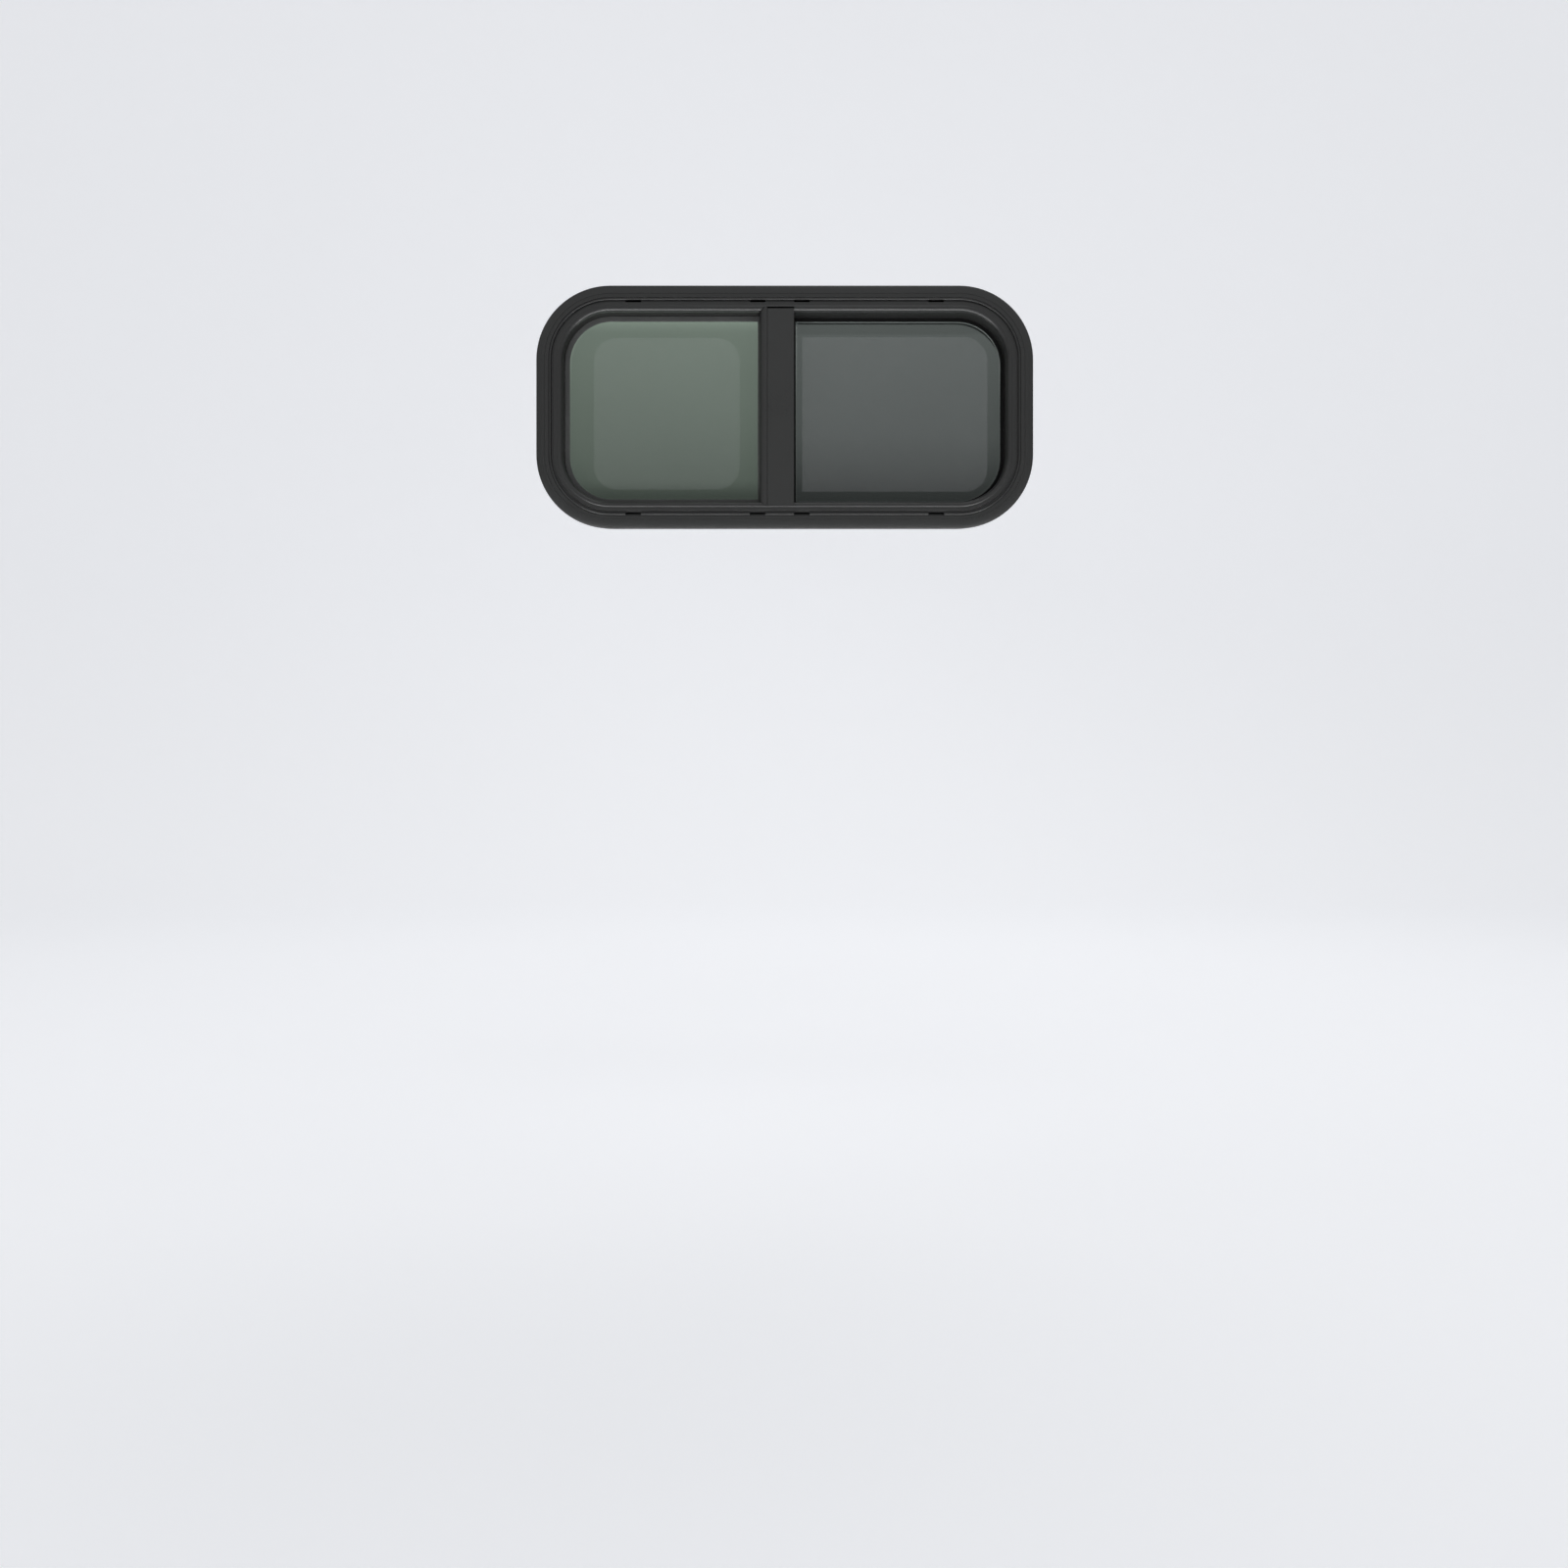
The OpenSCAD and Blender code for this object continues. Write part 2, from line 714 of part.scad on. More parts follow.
module latch_bolt() {
    color(metal_c) translate([latch_x, latch_low - bolt_reach, bolt_z]) rotate([-90, 0, 0]) {
        cylinder(d = bolt_d, h = bolt_reach + latch_len - bolt_blind - bolt_short);
    }
}

// Block on the clamp ring's lower lip that takes the bolt
module latch_keeper() {
    low = -half_h + clear_in;
    color(metal_c) difference() {
        block([latch_x - keeper_w / 2, low, clamp_face], [latch_x + keeper_w / 2, low + keeper_t, liner_front]);
        translate([latch_x, low - past, bolt_z]) rotate([-90, 0, 0]) {
            cylinder(d = bolt_d + 2 * screw_clear, h = keeper_t + 2 * past);
        }
    }
}

// L-shaped rail along the clamp ring's face that guides the screen's upper edge
module screen_rail() {
    y0 = half_h - rail_in - rail_t;
    lip = y0 - rail_lip;
    rail_x = corner_x;
    color(inner_c) union() {
        block([-rail_x, lip, clamp_face - rail_t], [rail_x, y0 + rail_flange, clamp_face]);
        block([-rail_x, y0, rail_face], [rail_x, y0 + rail_t, clamp_face]);
        block([-rail_x, lip, rail_face], [rail_x, y0 + rail_t, rail_face + rail_t]);
    }
}

module screen_top_rail() {
    screen_rail();
}

module screen_bottom_rail() {
    mirror([0, 1, 0]) screen_rail();
}

// Domed rivets through the rails' fixing flanges
module screen_rail_rivets() {
    y0 = half_h - rail_in - rail_t + rail_flange - rivet_from_edge;
    color(metal_c) for (s = [-1, 1], x = [-1, -0.35, 0.35, 1]) {
        translate([x * (corner_x - rivet_from_end), s * y0, clamp_face - rail_t]) mirror([0, 0, 1]) {
            cylinder(d1 = rivet_d, d2 = rivet_d * 0.6, h = rivet_h);
        }
    }
}

// Outlines of the screen's frame and of its opening, round on the right
module screen_outer_2d(d) {
    pane_2d(screen_l + d, half_w - screen_in - d, screen_in + d, screen_inner_r + screen_w - d);
}

module screen_inner_2d(d) {
    pane_2d(screen_l + screen_w - d, half_w - screen_in - screen_w + d, screen_in + screen_w - d,
        screen_inner_r + d);
}

module screen_frame() {
    color(inner_c) difference() {
        translate([0, 0, screen_back]) linear_extrude(screen_t) screen_outer_2d(0);
        translate([0, 0, screen_back - past]) linear_extrude(screen_t + 2 * past) screen_inner_2d(0);
        translate([0, 0, screen_back - past]) linear_extrude(past + mesh_t) screen_inner_2d(groove_side);
        translate([0, 0, screen_back - past]) linear_extrude(past + groove_back) difference() {
            screen_inner_2d(groove_side + spline_w);
            screen_inner_2d(groove_side);
        }
    }
}

module screen_mesh() {
    color([0.25, 0.25, 0.26, 0.6]) translate([0, 0, screen_back]) linear_extrude(mesh_t) {
        screen_inner_2d(groove_side - fit);
    }
}

module screen_spline() {
    color(rubber_c) translate([0, 0, screen_back - 0.3]) linear_extrude(groove_back) difference() {
        screen_inner_2d(groove_side + spline_w - fit);
        screen_inner_2d(groove_side);
    }
}

// Small pull tab on the screen's left side
module screen_tab() {
    color(inner_c) block([screen_l + tab_in, -tab_h / 2, screen_back - tab_t],
        [screen_l + tab_in + tab_w, tab_h / 2, screen_back]);
}

stand() main_frame();
stand() flange_seal();
stand() mullion();
stand() mullion_bead();
stand() mullion_top_seal();
stand() fixed_glass();
stand() fixed_gasket();
stand() sliding_glass();
stand() meeting_stile();
stand() meeting_pile();
stand() top_run();
stand() bottom_run();
stand() jamb_seal();
stand() sash_glides();
stand() stop_bumpers();
stand() pocket_liner();
stand() clamp_ring();
stand() clamp_screws();
stand() finger_pull();
stand() pull_screws();
stand() latch_body();
stand() latch_knob();
stand() latch_bolt();
stand() latch_keeper();
stand() screen_top_rail();
stand() screen_bottom_rail();
stand() screen_rail_rivets();
stand() screen_frame();
stand() screen_mesh();
stand() screen_spline();
stand() screen_tab();
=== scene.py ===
"""A horizontal sliding caravan window, dressed and lit.

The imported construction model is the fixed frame. One operator builds the studio and one makes the
finishes. Each of the others makes one piece, or one group of like pieces, in the place that the
model gives.
"""

import math

import bmesh
import bpy
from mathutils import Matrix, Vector


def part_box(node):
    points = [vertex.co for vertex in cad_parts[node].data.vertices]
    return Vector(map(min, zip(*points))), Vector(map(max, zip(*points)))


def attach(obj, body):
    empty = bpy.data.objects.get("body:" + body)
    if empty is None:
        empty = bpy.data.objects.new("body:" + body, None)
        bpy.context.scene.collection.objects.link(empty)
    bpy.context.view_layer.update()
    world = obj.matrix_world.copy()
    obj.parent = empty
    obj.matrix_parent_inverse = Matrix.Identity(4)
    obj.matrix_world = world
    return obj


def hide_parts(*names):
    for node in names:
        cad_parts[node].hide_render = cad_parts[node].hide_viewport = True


bl_info = {
    "name": "Caravan window",
    "version": (1, 0, 0),
    "blender": (4, 5, 0),
    "location": "View3D > Sidebar > Window",
    "description": "Builds a sliding caravan window around its construction model",
    "category": "Object",
}

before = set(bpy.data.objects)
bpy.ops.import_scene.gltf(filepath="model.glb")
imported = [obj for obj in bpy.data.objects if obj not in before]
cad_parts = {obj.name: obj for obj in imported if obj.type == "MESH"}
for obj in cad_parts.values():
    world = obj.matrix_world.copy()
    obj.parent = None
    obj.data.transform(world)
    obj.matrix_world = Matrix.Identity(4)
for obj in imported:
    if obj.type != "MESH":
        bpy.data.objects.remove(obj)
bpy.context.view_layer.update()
MM = 0.001
BODY = "root"
FRAME_LOW, FRAME_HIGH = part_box("main_frame")
MIDDLE = (FRAME_LOW.z + FRAME_HIGH.z) / 2
HALF_W = (FRAME_HIGH.x - FRAME_LOW.x) / 2
HALF_H = (FRAME_HIGH.z - FRAME_LOW.z) / 2


# ---- sizes and colours


def length(name, default, about):
    """A length property, in metres."""
    return bpy.props.FloatProperty(
        name=name, description=about, default=default, min=0.0, precision=4, unit="LENGTH"
    )


def paint(name, default, about):
    """A colour property."""
    return bpy.props.FloatVectorProperty(
        name=name, description=about, default=default, subtype="COLOR", size=3, min=0.0, max=1.0
    )


class FrameSizes(bpy.types.PropertyGroup):
    corner_r: length("Corner radius", 0.134, "Outer corner radius of the flange")
    lap: length("Flange lap", 0.024, "Width of the flange that lies on the wall")
    land: length("Plain band", 0.0225, "Width of the plain band at the outer edge")
    edge_t: length("Edge thickness", 0.0024, "Thickness of the flange at its outer edge")
    line_w: length("Line", 0.001, "Width of the thin line beside the bead")
    bead_w: length("Bead", 0.004, "Width of the round bead")
    groove_w: length("Groove", 0.0045, "Width of the drain groove")
    ring_w: length("Ring", 0.006, "Width of the flat ring inside the groove")
    nose_w: length("Nose", 0.0105, "Width of the round nose around the panes")
    ring_out: length("Ring level", 0.007, "How far the flat ring stands out of the wall")
    nose_rise: length("Nose rise", 0.001, "How far the crest of the nose stands out past the ring")
    skin_t: length("Wall", 0.0022, "Wall thickness of the extrusion")
    slot_len: length("Weep slot", 0.0285, "Length of a weep slot")
    slot_h: length("Slot height", 0.0042, "Height of a weep slot")
    slot_far: length("Outer slots", 0.274, "Distance of the outer slots from the middle")
    slot_near: length("Inner slots", 0.040, "Distance of the inner slots from the mullion")
    bead_flat: length("Bead flat", 0.004, "Flat width of the mullion's bead")


class SashSizes(bpy.types.PropertyGroup):
    gasket_lip: length("Gasket lip", 0.009, "Width of the gasket lip on the fixed pane")
    run_lip: length("Run lip", 0.006, "Width of the run lips on the sliding pane")
    run_t: length("Run wall", 0.0014, "Thickness of the run walls")
    arris: length("Arris", 0.0006, "Ground edge of both panes")
    clear_in: length("Clear opening", 0.076, "From the window's outer edge to the opening inside")
    clear_r: length("Inner corner radius", 0.042, "Corner radius of the opening inside")
    screw_pitch: length("Screw pitch", 0.150, "Distance between the clamp ring's screws")
    head_r: length("Screw head", 0.0042, "Radius of the heads of the clamp ring's screws")
    bolt_hole_r: length("Bolt hole", 0.0028, "Radius of the holes that the latch bolt drops into")
    wire_d: length("Screen wire", 0.00024, "Diameter of the screen's wire")
    wire_pitch: length("Wire pitch", 0.0016, "Distance from wire to wire")


class Finishes(bpy.types.PropertyGroup):
    coat: paint("Frame coat", (0.0108, 0.0110, 0.0107), "Satin black coat of the outer frame")
    inner: paint("Inner coat", (0.018, 0.018, 0.0185), "Black coat of the inner parts")
    rubber: paint("Rubber", (0.038, 0.039, 0.038), "Gaskets, runs and seals")
    green: paint("Green glass", (0.170, 0.210, 0.174), "Tint of the fixed pane")
    grey: paint("Grey glass", (0.114, 0.128, 0.121), "Tint of the sliding pane")
    plastic: paint("Plastic", (0.0125, 0.0125, 0.0118), "Moulded latch, pull and liner")
    nylon: paint("Nylon", (0.62, 0.61, 0.58), "Glides under the sash")
    steel: paint("Steel", (0.56, 0.56, 0.55), "Screws, bolt and rivets")
    wire: paint("Wire", (0.16, 0.162, 0.165), "Coated wire of the insect screen")


class StageSettings(bpy.types.PropertyGroup):
    distance: length("Camera distance", 2.211, "Distance of the camera from the wall")
    drop: length("Camera drop", 0.6828, "How far the camera is below the middle of the window")
    lens: bpy.props.FloatProperty(
        name="Lens", description="Focal length on a 36 mm sensor", default=28.0, min=1.0
    )
    floor_drop: length("Floor drop", 1.25, "How far the floor is below the window's middle")
    backdrop: paint("Backdrop", (0.90, 0.905, 0.925), "Floor and backdrop")


# ---- shader helpers


class Wire:
    """A socket of a material, which takes part in expressions as a number does."""

    def __init__(self, graph, socket):
        self.graph = graph
        self.socket = socket

    def __add__(self, other):
        return self.graph.maths("ADD", self, other)

    __radd__ = __add__

    def __sub__(self, other):
        return self.graph.maths("SUBTRACT", self, other)

    def __rsub__(self, other):
        return self.graph.maths("SUBTRACT", other, self)

    def __mul__(self, other):
        return self.graph.maths("MULTIPLY", self, other)

    __rmul__ = __mul__

    def __truediv__(self, other):
        return self.graph.maths("DIVIDE", self, other)

    def __pow__(self, other):
        return self.graph.maths("POWER", self, other)

    def __abs__(self):
        return self.graph.maths("ABSOLUTE", self)

    def other(self, out):
        """Another output of the same node."""
        return Wire(self.graph, self.socket.node.outputs[out])


class Graph:
    """The nodes of one material or world."""

    def __init__(self, owner):
        owner.use_nodes = True
        self.tree = owner.node_tree
        self.tree.nodes.clear()

    def node(self, kind, settings=None, sockets=None, out=0):
        """Adds a node, sets it up and gives the wire of one of its outputs."""
        made = self.tree.nodes.new(kind)
        for key, value in (settings or {}).items():
            if key == "stops":
                ramp = made.color_ramp
                while len(ramp.elements) < len(value):
                    ramp.elements.new(0.5)
                for stop, (place, colour) in zip(ramp.elements, value):
                    stop.position = place
                    stop.color = (*colour, 1.0)
            else:
                setattr(made, key, value)
        for key, value in (sockets or {}).items():
            if isinstance(value, Wire):
                self.tree.links.new(value.socket, made.inputs[key])
            else:
                made.inputs[key].default_value = value
        return Wire(self, made.outputs[out]) if len(made.outputs) else made

    def maths(self, operation, a, b=0.0, clamp=False):
        return self.node(
            "ShaderNodeMath", {"operation": operation, "use_clamp": clamp}, {0: a, 1: b}
        )

    def clamped(self, value):
        return self.maths("ADD", value, 0.0, clamp=True)

    def fade(self, value, start, width):
        """Goes from 0 at the start to 1 a width further on, downwards if the width is below 0."""
        return self.clamped((value - start) / width)

    def place(self):
        """Where a point lies in the row frame."""
        return self.node("ShaderNodeTexCoord", out="Object")

    def along(self, place):
        """The three parts of a place."""
        x = self.node("ShaderNodeSeparateXYZ", None, {0: place})
        return x, x.other(1), x.other(2)

    def stretched(self, place, scale):
        return self.node("ShaderNodeVectorMath", {"operation": "MULTIPLY"}, {0: place, 1: scale})

    def noise(self, place, scale, detail=2.0, roughness=0.5):
        return self.node(
            "ShaderNodeTexNoise",
            None,
            {"Vector": place, "Scale": scale, "Detail": detail, "Roughness": roughness},
        )

    def mix(self, factor, a, b):
        """A colour between two colours."""
        return self.node(
            "ShaderNodeMix", {"data_type": "RGBA"}, {0: factor, 6: colour4(a), 7: colour4(b)}, out=2
        )

    def bump(self, height, distance, strength=1.0):
        return self.node(
            "ShaderNodeBump", None, {"Height": height, "Distance": distance, "Strength": strength}
        )

    def surface(self, sockets):
        shader = self.node("ShaderNodeBsdfPrincipled", None, sockets)
        self.node("ShaderNodeOutputMaterial", None, {"Surface": shader})


def colour4(value):
    return value if isinstance(value, Wire) else (*value, 1.0)


def shade(colour, factor):
    """The colour made darker or lighter."""
    return tuple(min(1.0, part * factor) for part in colour)


def material(name):
    """A finish, by its name."""
    made = bpy.data.materials.get(name)
    if made is None:
        raise RuntimeError(f"no material named {name}: run the finishes first")
    return made


# ---- mesh helpers


class Span:
    """Where a node of the construction model lies: in the wall's plane, and levels out of it."""

    def __init__(self, node):
        low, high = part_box(node)
        self.x0, self.x1 = low.x, high.x
        self.y0, self.y1 = low.z - MIDDLE, high.z - MIDDLE
        self.back, self.front = -high.y, -low.y
        self.x, self.y = (self.x0 + self.x1) / 2, (self.y0 + self.y1) / 2
        self.level = (self.back + self.front) / 2

    def outline(self, inset, radii, count=24):
        """Its rectangle in the wall's plane, drawn in by a distance, with round corners."""
        return loop(
            self.x0 + inset, self.x1 - inset, self.y0 + inset, self.y1 - inset, radii, count
        )


def at(x, y, level):
    """A point of the wall's plane and its level, in the row frame."""
    return Vector((x, -level, y + MIDDLE))


def lifted(points, level):
    """An outline of the wall's plane, at one level."""
    return [at(x, y, level) for x, y in points]


def steps(count):
    """Even steps from 0 to 1."""
    return [i / count for i in range(count + 1)]


def arc(cx, cy, rx, ry, start, end, count):
    """Points on an ellipse, angles in degrees."""
    turns = [math.radians(start + (end - start) * u) for u in steps(count)]
    return [(cx + rx * math.cos(a), cy + ry * math.sin(a)) for a in turns]


def eased(points, count=3):
    """A closed section whose corners are rounded where a point gives a radius after its place."""
    made = []
    for i, point in enumerate(points):
        if len(point) == 2:
            made.append(point)
            continue
        here = Vector(point[:2])
        before, after = Vector(points[i - 1][:2]), Vector(points[(i + 1) % len(points)][:2])
        one = here + (before - here).normalized() * min(point[2], (before - here).length * 0.45)
        two = here + (after - here).normalized() * min(point[2], (after - here).length * 0.45)
        for t in steps(count):
            made.append(tuple(one * (1 - t) ** 2 + here * 2 * t * (1 - t) + two * t * t))
    return made


def loop(x0, x1, y0, y1, radii, count=24):
    """A rectangle with a radius at each corner, from the upper right one round to the left."""
    corners = ((x1, y1, -1, -1, 0), (x0, y1, 1, -1, 90), (x0, y0, 1, 1, 180), (x1, y0, -1, 1, 270))
    points = []
    for (x, y, sx, sy, start), r in zip(corners, radii):
        points += arc(x + sx * r, y + sy * r, r, r, start, start + 90, count)
    return points


def oblong(x0, x1, y0, y1):
    """The corners of a plain rectangle."""
    return [(x0, y0), (x1, y0), (x1, y1), (x0, y1)]


def ring_row(inset, level, radius):
    """One line of a section, run all round the window at one distance from its outer edge."""
    half_w, half_h = HALF_W - inset, HALF_H - inset
    return lifted(loop(-half_w, half_w, -half_h, half_h, [radius] * 4), level)


def skin(bm, rows, closed_section=True, closed_path=True):
    """Adds quads between rows of points, and a face on each open end."""
    grid = [[bm.verts.new(point) for point in row] for row in rows]
    for i in range(len(grid) - (0 if closed_section else 1)):
        a, b = grid[i], grid[(i + 1) % len(grid)]
        for j in range(len(a) - (0 if closed_path else 1)):
            k = (j + 1) % len(a)
            bm.faces.new((a[j], a[k], b[k], b[j]))
    if not closed_path:
        bm.faces.new([row[0] for row in grid])
        bm.faces.new([row[-1] for row in grid])
    if not closed_section:
        bm.faces.new(grid[0])
        bm.faces.new(grid[-1])
    return bm


def bar(bm, section, start, end, axis="y"):
    """A section run straight: along y its points are (x, level), along x they are (y, level)."""
    if axis == "y":
        rows = [[at(p, start, q), at(p, end, q)] for p, q in section]
    else:
        rows = [[at(start, p, q), at(end, p, q)] for p, q in section]
    return skin(bm, rows, closed_path=False)


def bore(bm, x, level, r, start, end):
    """A round rod along y, to cut a hole with."""
    bar(bm, arc(x, level, r, r, 0, 360, 24)[:-1], start, end)


def prism(bm, points, low, high):
    """A flat outline of the wall's plane, raised from one level to another."""
    skin(bm, [lifted(points, level) for level in (low, high)], closed_section=False)


def turned(bm, x, y, level, way, profile, count=28):
    """A round piece on an axis out of the wall. Its profile is (radius, height)."""
    rows = [lifted(arc(x, y, r, r, 0, 360, count)[:-1], level + way * h) for r, h in profile]
    skin(bm, rows, closed_section=False)


def stadium(x, y, half_w, half_l, count=12):
    """An upright slot shape with round ends."""
    return loop(x - half_w, x + half_w, y - half_l, y + half_l, [half_w] * 4, count)


def raised(bm, outlines):
    """A moulded block from a stack of outlines, each (points, level), capped at both ends."""
    skin(bm, [lifted(points, level) for points, level in outlines], closed_section=False)


def moulding(bm, span, corner, give, edges, count):
    """A block as large as a node. Its edge towards the room is a list of (inset, height)."""
    rows = [(0.0, span.front)] + [(inset, span.back + height) for inset, height in edges]
    raised(
        bm,
        [(span.outline(inset, [corner - inset * give] * 4, count), level) for inset, level in rows],
    )


def grooves(tool, span, places, half, deep):
    """Cross grooves in the face that looks into the room."""
    past = 1 * MM
    for y in places:
        outline = oblong(span.x0 - past, span.x1 + past, y - half, y + half)
        prism(tool, outline, span.back - past, span.back + deep)


def placed(name, data):
    """A new object in the scene."""
    obj = bpy.data.objects.new(name, data)
    bpy.context.scene.collection.objects.link(obj)
    return obj


def mesh_of(bm, name):
    bmesh.ops.recalc_face_normals(bm, faces=bm.faces[:])
    mesh = bpy.data.meshes.new(name)
    bm.to_mesh(mesh)
    bm.free()
    return mesh


def smooth(mesh, angle):
    """Smooth shading, with an edge kept sharp where its faces meet at more than the angle."""
    mesh.shade_smooth()
    mesh.set_sharp_from_angle(angle=math.radians(angle))


def combine(obj, tool, operation):
    """Takes a tool's volume out of a piece, or joins it to the piece."""
    cutter = placed("cutter", mesh_of(tool, "cutter"))
    modifier = obj.modifiers.new("cut", "BOOLEAN")
    modifier.operation, modifier.solver, modifier.object = operation, "EXACT", cutter
    bpy.context.view_layer.update()
    shaped = obj.evaluated_get(bpy.context.evaluated_depsgraph_get())
    made = bpy.data.meshes.new_from_object(shaped)
    obj.modifiers.clear()
    obj.data = made
    bpy.data.objects.remove(cutter)
    if not made.polygons:
        raise RuntimeError(f"nothing is left of {obj.name} after its cut")


def piece(name, bm, finish, stands_for, cuts=(), joins=(), edges=(), angle=32):
    """Makes an object of a mesh, shapes it, gives it its finishes and puts it on the window."""
    obj = placed(name, mesh_of(bm, name))
    for tool in joins:
        combine(obj, tool, "UNION")
    for tool in cuts:
        combine(obj, tool, "DIFFERENCE")
    obj.data.name = name
    obj.data.materials.clear()
    for one in (finish, *edges):
        obj.data.materials.append(material(one))
    smooth(obj.data, angle)
    obj.modifiers.new("even_normals", "WEIGHTED_NORMAL").keep_sharp = True
    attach(obj, BODY)
    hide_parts(*stands_for)
    return obj


def window():
    """The sizes of the frame and of the sash, as they are set."""
    return bpy.context.scene.window_frame, bpy.context.scene.window_sash


def stations():
    """Distances of the frame's lines from its outer edge, going in."""
    size = window()[0]
    bead = size.land + size.line_w
    groove = bead + size.bead_w
    ring = groove + size.groove_w
    nose = ring + size.ring_w
    return bead, groove, ring, nose, nose + size.nose_w


def screw_places():
    """The clamp ring's screws: two long rows, four corners and the two short sides."""
    size, sash = window()
    inset = HALF_H - Span("clamp_screws").y1 + sash.head_r
    corner_x, corner_y = HALF_W - size.corner_r, HALF_H - size.corner_r
    count = math.floor(corner_x * 2 / sash.screw_pitch)
    reach = (size.corner_r - inset) * math.cos(math.radians(45))
    across = [(i - count / 2) * sash.screw_pitch for i in range(count + 1)]
    rows = [(x, s * (HALF_H - inset)) for x in across for s in (-1, 1)]
    ends = [(s * (corner_x + reach), t * (corner_y + reach)) for s in (-1, 1) for t in (-1, 1)]
    return rows + ends + [(s * (HALF_W - inset), 0.0) for s in (-1, 1)]


# ---- finishes


def powder_coat(name, colour, roughness, grain):
    """Satin powder coat: a fine orange peel, faint clouds, and edges rubbed a little brighter."""
    graph = Graph(bpy.data.materials.new(name))
    place = graph.place()
    cloud = graph.noise(place, 7.0, 4.0)
    fine = graph.noise(place, 420.0, 2.0)
    peel = graph.noise(place, grain, 3.0, 0.6)
    edges = graph.node("ShaderNodeNewGeometry", out="Pointiness")
    worn = graph.node(
        "ShaderNodeMapRange", {"clamp": True}, {"Value": edges, "From Min": 0.53, "From Max": 0.64}
    )
    uneven = 0.10 * (cloud - 0.5) + 0.10 * (peel - 0.5)
    base = graph.mix(cloud, shade(colour, 0.86), shade(colour, 1.16))
    base = graph.mix(graph.clamped(fine - 0.62) * 1.6, base, shade(colour, 1.9))
    base = graph.mix(worn * (0.25 + 0.35 * cloud), base, shade(colour, 2.6))
    graph.surface(
        {
            "Base Color": base,
            "Roughness": graph.clamped(roughness + uneven - 0.06 * worn),
            "Specular IOR Level": 0.42,
            "Normal": graph.bump(peel * 0.7 + fine * 0.3, 0.00004),
        }
    )


def rubber_finish(name, colour, roughness, shine=0.4):
    """Extruded rubber: dull, with a pale bloom in patches and fine pits."""
    graph = Graph(bpy.data.materials.new(name))
    place = graph.place()
    bloom = graph.noise(place, 16.0, 5.0, 0.65)
    pits = graph.noise(place, 1500.0, 2.0)
    dust = graph.clamped((bloom - 0.45) * 1.4)
    graph.surface(
        {
            "Base Color": graph.mix(dust, shade(colour, 0.85), shade(colour, 1.55)),
            "Roughness": graph.clamped(roughness + 0.14 * (bloom - 0.5)),
            "Specular IOR Level": shine,
            "Normal": graph.bump(pits, 0.00003),
        }
    )


def plastic_finish(name, colour, roughness):
    """Moulded plastic with a spark-eroded grain."""
    graph = Graph(bpy.data.materials.new(name))
    place = graph.place()
    grain = graph.node("ShaderNodeTexVoronoi", None, {"Vector": place, "Scale": 1300.0})
    cloud = graph.noise(place, 22.0, 3.0)
    graph.surface(
        {
            "Base Color": graph.mix(cloud, shade(colour, 0.85), shade(colour, 1.2)),
            "Roughness": graph.clamped(roughness + 0.12 * (cloud - 0.5)),
            "Specular IOR Level": 0.25,
            "Normal": graph.bump(grain, 0.00002),
        }
    )


def steel_finish(name, colour, roughness):
    """Turned stainless steel with fine rings of tool marks and a few dull spots."""
    graph = Graph(bpy.data.materials.new(name))
    place = graph.place()
    marks = graph.noise(graph.stretched(place, (1.0, 9.0, 1.0)), 1400.0, 2.0)
    spots = graph.noise(place, 160.0, 3.0)
    graph.surface(
        {
            "Base Color": graph.mix(spots, shade(colour, 0.78), shade(colour, 1.12)),
            "Metallic": 1.0,
            "Roughness": graph.clamped(roughness + 0.22 * (marks - 0.5) + 0.12 * (spots - 0.5)),
            "Normal": graph.bump(marks, 0.00003),
        }
    )


def past_edge(graph, side, x0, x1, half_h, r):
    """Distance past a pane's visible outline: round corners on one side, square on the other."""
    x, _, z = graph.along(graph.place())
    open_end = 0.5
    left, right = (x0, x1 + open_end) if side < 0 else (x0 - open_end, x1)
    across = abs(x - (left + right) / 2) - ((right - left) / 2 - r)
    up = abs(z - MIDDLE) - (half_h - r)
    out_x, out_z = graph.maths("MAXIMUM", across, 0.0), graph.maths("MAXIMUM", up, 0.0)
    corner = (out_x * out_x + out_z * out_z) ** 0.5
    inner = graph.maths("MINIMUM", graph.maths("MAXIMUM", across, up), 0.0)
    past = (x - x1) if side < 0 else (x0 - x)
    return graph.maths("MAXIMUM", corner + inner - r, past)


